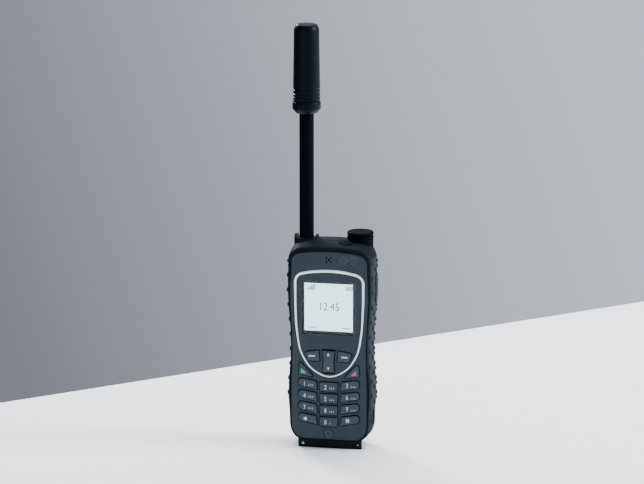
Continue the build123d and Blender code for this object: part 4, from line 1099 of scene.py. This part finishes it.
# ---------------------------------------------------------------- studio
@dataclass
class Studio:
    """Pale table, glowing wall with painted light falloff, four soft lights and the camera."""

    camera_place: Place = (0.384935, -1.912690, 0.571580)
    turn: float = 0.202451
    tilt: float = 0.218164
    lens: float = 3000.0 / 644.0 * 36.0

    def build(self) -> None:
        """Makes the stage."""
        self._camera()
        self._table()
        self._wall()
        self._lights()

    def _camera(self) -> None:
        """Puts the camera to the right of the face and above it, looking slightly down."""
        data = bpy.data.cameras.new("view_camera")
        data.sensor_width = 36.0
        data.lens = self.lens
        data.clip_start = 0.05
        data.clip_end = 50.0
        camera = bpy.data.objects.new("view_camera", data)
        level = math.cos(self.tilt)
        ahead = Vector(
            (-math.sin(self.turn) * level, math.cos(self.turn) * level, -math.sin(self.tilt))
        )
        camera.location = self.camera_place
        camera.rotation_mode = "QUATERNION"
        camera.rotation_quaternion = ahead.to_track_quat("-Z", "Y")
        bpy.context.scene.collection.objects.link(camera)
        bpy.context.scene.camera = camera

    def _surface(self, name: str, corners: Sequence[Place], material: bpy.types.Material) -> None:
        """Makes one flat stage surface.

        Args:
            name: Name of the piece.
            corners: Its corners in order.
            material: Its finish.
        """
        mesh = bpy.data.meshes.new(name)
        mesh.from_pydata([tuple(c) for c in corners], [], [tuple(range(len(corners)))])
        mesh.materials.append(material)
        made = bpy.data.objects.new(name, mesh)
        bpy.context.scene.collection.objects.link(made)

    def _table(self) -> None:
        """A white table top whose far edge runs away to the right."""
        edge = np.array([(-0.2507, 0.0508), (0.1664, 0.4479)])
        along = (edge[1] - edge[0]) / np.linalg.norm(edge[1] - edge[0])
        away = np.array([along[1], -along[0]])
        left, right = edge[0] - along * 1.5, edge[1] + along * 1.5
        near_right, near_left = right + away * 3.0, left + away * 3.0
        corners = [(*p, 0.0) for p in (left, near_left, near_right, right)]
        finish = Finish(
            "table_laminate", (0.90, 0.925, 0.95), 0.7,
            grain=Grain.SMOOTH, grain_mm=4.0, grain_depth=0.05, variation=0.01,
        )
        self._surface("table_top", corners, finish.build())

    def _wall(self) -> None:
        """A plain wall far behind that glows, with painted light falloff: darker to the left and a little
        darker low down.
        """
        corners = [(-6, 3.0, -3), (6, 3.0, -3), (6, 3.0, 4), (-6, 3.0, 4)]
        self._surface("back_wall", corners, self._wall_painted_light())

    def _wall_painted_light(self) -> bpy.types.Material:
        """Glowing backdrop with painted light falloff: its emitted colour runs along X, shifted a little by
        the height.
        """
        material = bpy.data.materials.new("wall_light")
        material.use_nodes = True
        tree = material.node_tree
        shader = tree.nodes["Principled BSDF"]
        shader.inputs["Base Color"].default_value = (0.02, 0.02, 0.02, 1)
        shader.inputs["Roughness"].default_value = 1.0
        # The wall glows at strength 1 instead of taking its light from the lamps.
        shader.inputs["Emission Strength"].default_value = 1.0
        place = tree.nodes.new("ShaderNodeTexCoord")
        split = tree.nodes.new("ShaderNodeSeparateXYZ")
        tree.links.new(place.outputs["Object"], split.inputs["Vector"])
        lift = tree.nodes.new("ShaderNodeMath")
        lift.operation = "MULTIPLY_ADD"
        lift.inputs[1].default_value = 0.36
        tree.links.new(split.outputs["Z"], lift.inputs[0])
        tree.links.new(split.outputs["X"], lift.inputs[2])
        span = tree.nodes.new("ShaderNodeMapRange")
        span.inputs["From Min"].default_value = -1.45
        span.inputs["From Max"].default_value = -0.15
        tree.links.new(lift.outputs["Value"], span.inputs["Value"])
        # Painted light falloff: the ramp runs from dark on the left to bright on the right.
        tone = tree.nodes.new("ShaderNodeValToRGB")
        ramp = tone.color_ramp
        ramp.interpolation = "B_SPLINE"
        ramp.elements[0].color = (0.155, 0.165, 0.20, 1)
        ramp.elements[1].color = (0.74, 0.83, 0.95, 1)
        middle = ramp.elements.new(0.5)
        middle.color = (0.48, 0.50, 0.575, 1)
        tree.links.new(span.outputs["Result"], tone.inputs["Fac"])
        tree.links.new(tone.outputs["Color"], shader.inputs["Emission Color"])
        return material

    def _light(self, name: str, place: Place, aim: Place, size: float, power: float) -> None:
        """Adds one soft square light.

        Args:
            name: Name of the light.
            place: Where it stands, in metres.
            aim: What it points at.
            size: Edge of its square.
            power: Its power in watts.
        """
        data = bpy.data.lights.new(name, "AREA")
        data.size = size
        data.energy = power
        data.color = LAMP_COLOUR
        made = bpy.data.objects.new(name, data)
        made.location = place
        made.rotation_mode = "QUATERNION"
        made.rotation_quaternion = (Vector(aim) - Vector(place)).to_track_quat("-Z", "Y")
        bpy.context.scene.collection.objects.link(made)

    def _lights(self) -> None:
        """Overhead soft box, a light on the right, one behind on the left, a weak fill in front."""
        world = bpy.data.worlds.new("soft_room")
        world.use_nodes = True
        world.node_tree.nodes["Background"].inputs["Color"].default_value = (0.72, 0.82, 0.95, 1)
        world.node_tree.nodes["Background"].inputs["Strength"].default_value = 0.10
        bpy.context.scene.world = world
        self._light("overhead_light", (0.1, 0.35, 1.7), (0, 0.05, 0), 1.5, 54.0)
        self._light("right_light", (1.6, 0.15, 0.95), (0, 0, 0.05), 0.45, 52.0)
        self._light("left_light", (-1.1, 1.3, 1.0), (0, 0, 0.05), 0.45, 46.0)
        self._light("front_fill", (-0.5, -2.2, 0.6), (0, 0, 0.1), 1.2, 9.0)


# ---------------------------------------------------------------- main
def main() -> None:
    """Builds every class in order."""
    logging.basicConfig(level=logging.INFO, format="%(name)s: %(message)s")
    palette = Palette()
    Studio().build()
    dress_nodes(palette)
    form = HullForm()
    SideGrip(form, 1, 109.1, 20.8).build(palette)
    SideGrip(form, -1, 101.0, 26.0).build(palette)
    FaceRing().build(palette)
    Display().build(palette)
    Keypad().build(palette)
    Antenna().build(palette)
    rims = (
        Rim("lens_rim_left", (9.8, 129.9), 2.25, RIM_FACE_Y),
        Rim("lens_rim_right", (16.1, 129.9), 2.6, RIM_FACE_Y),
        Rim("microphone_rim", (-0.3, 10.5), 2.75, RIM_FACE_Y),
    )
    # The rims take the pale finish that paints their highlight.
    for rim in rims:
        rim.build(palette, "rim_painted_highlight")
    build_base_marks(palette)


if __name__ == "__main__":
    main()
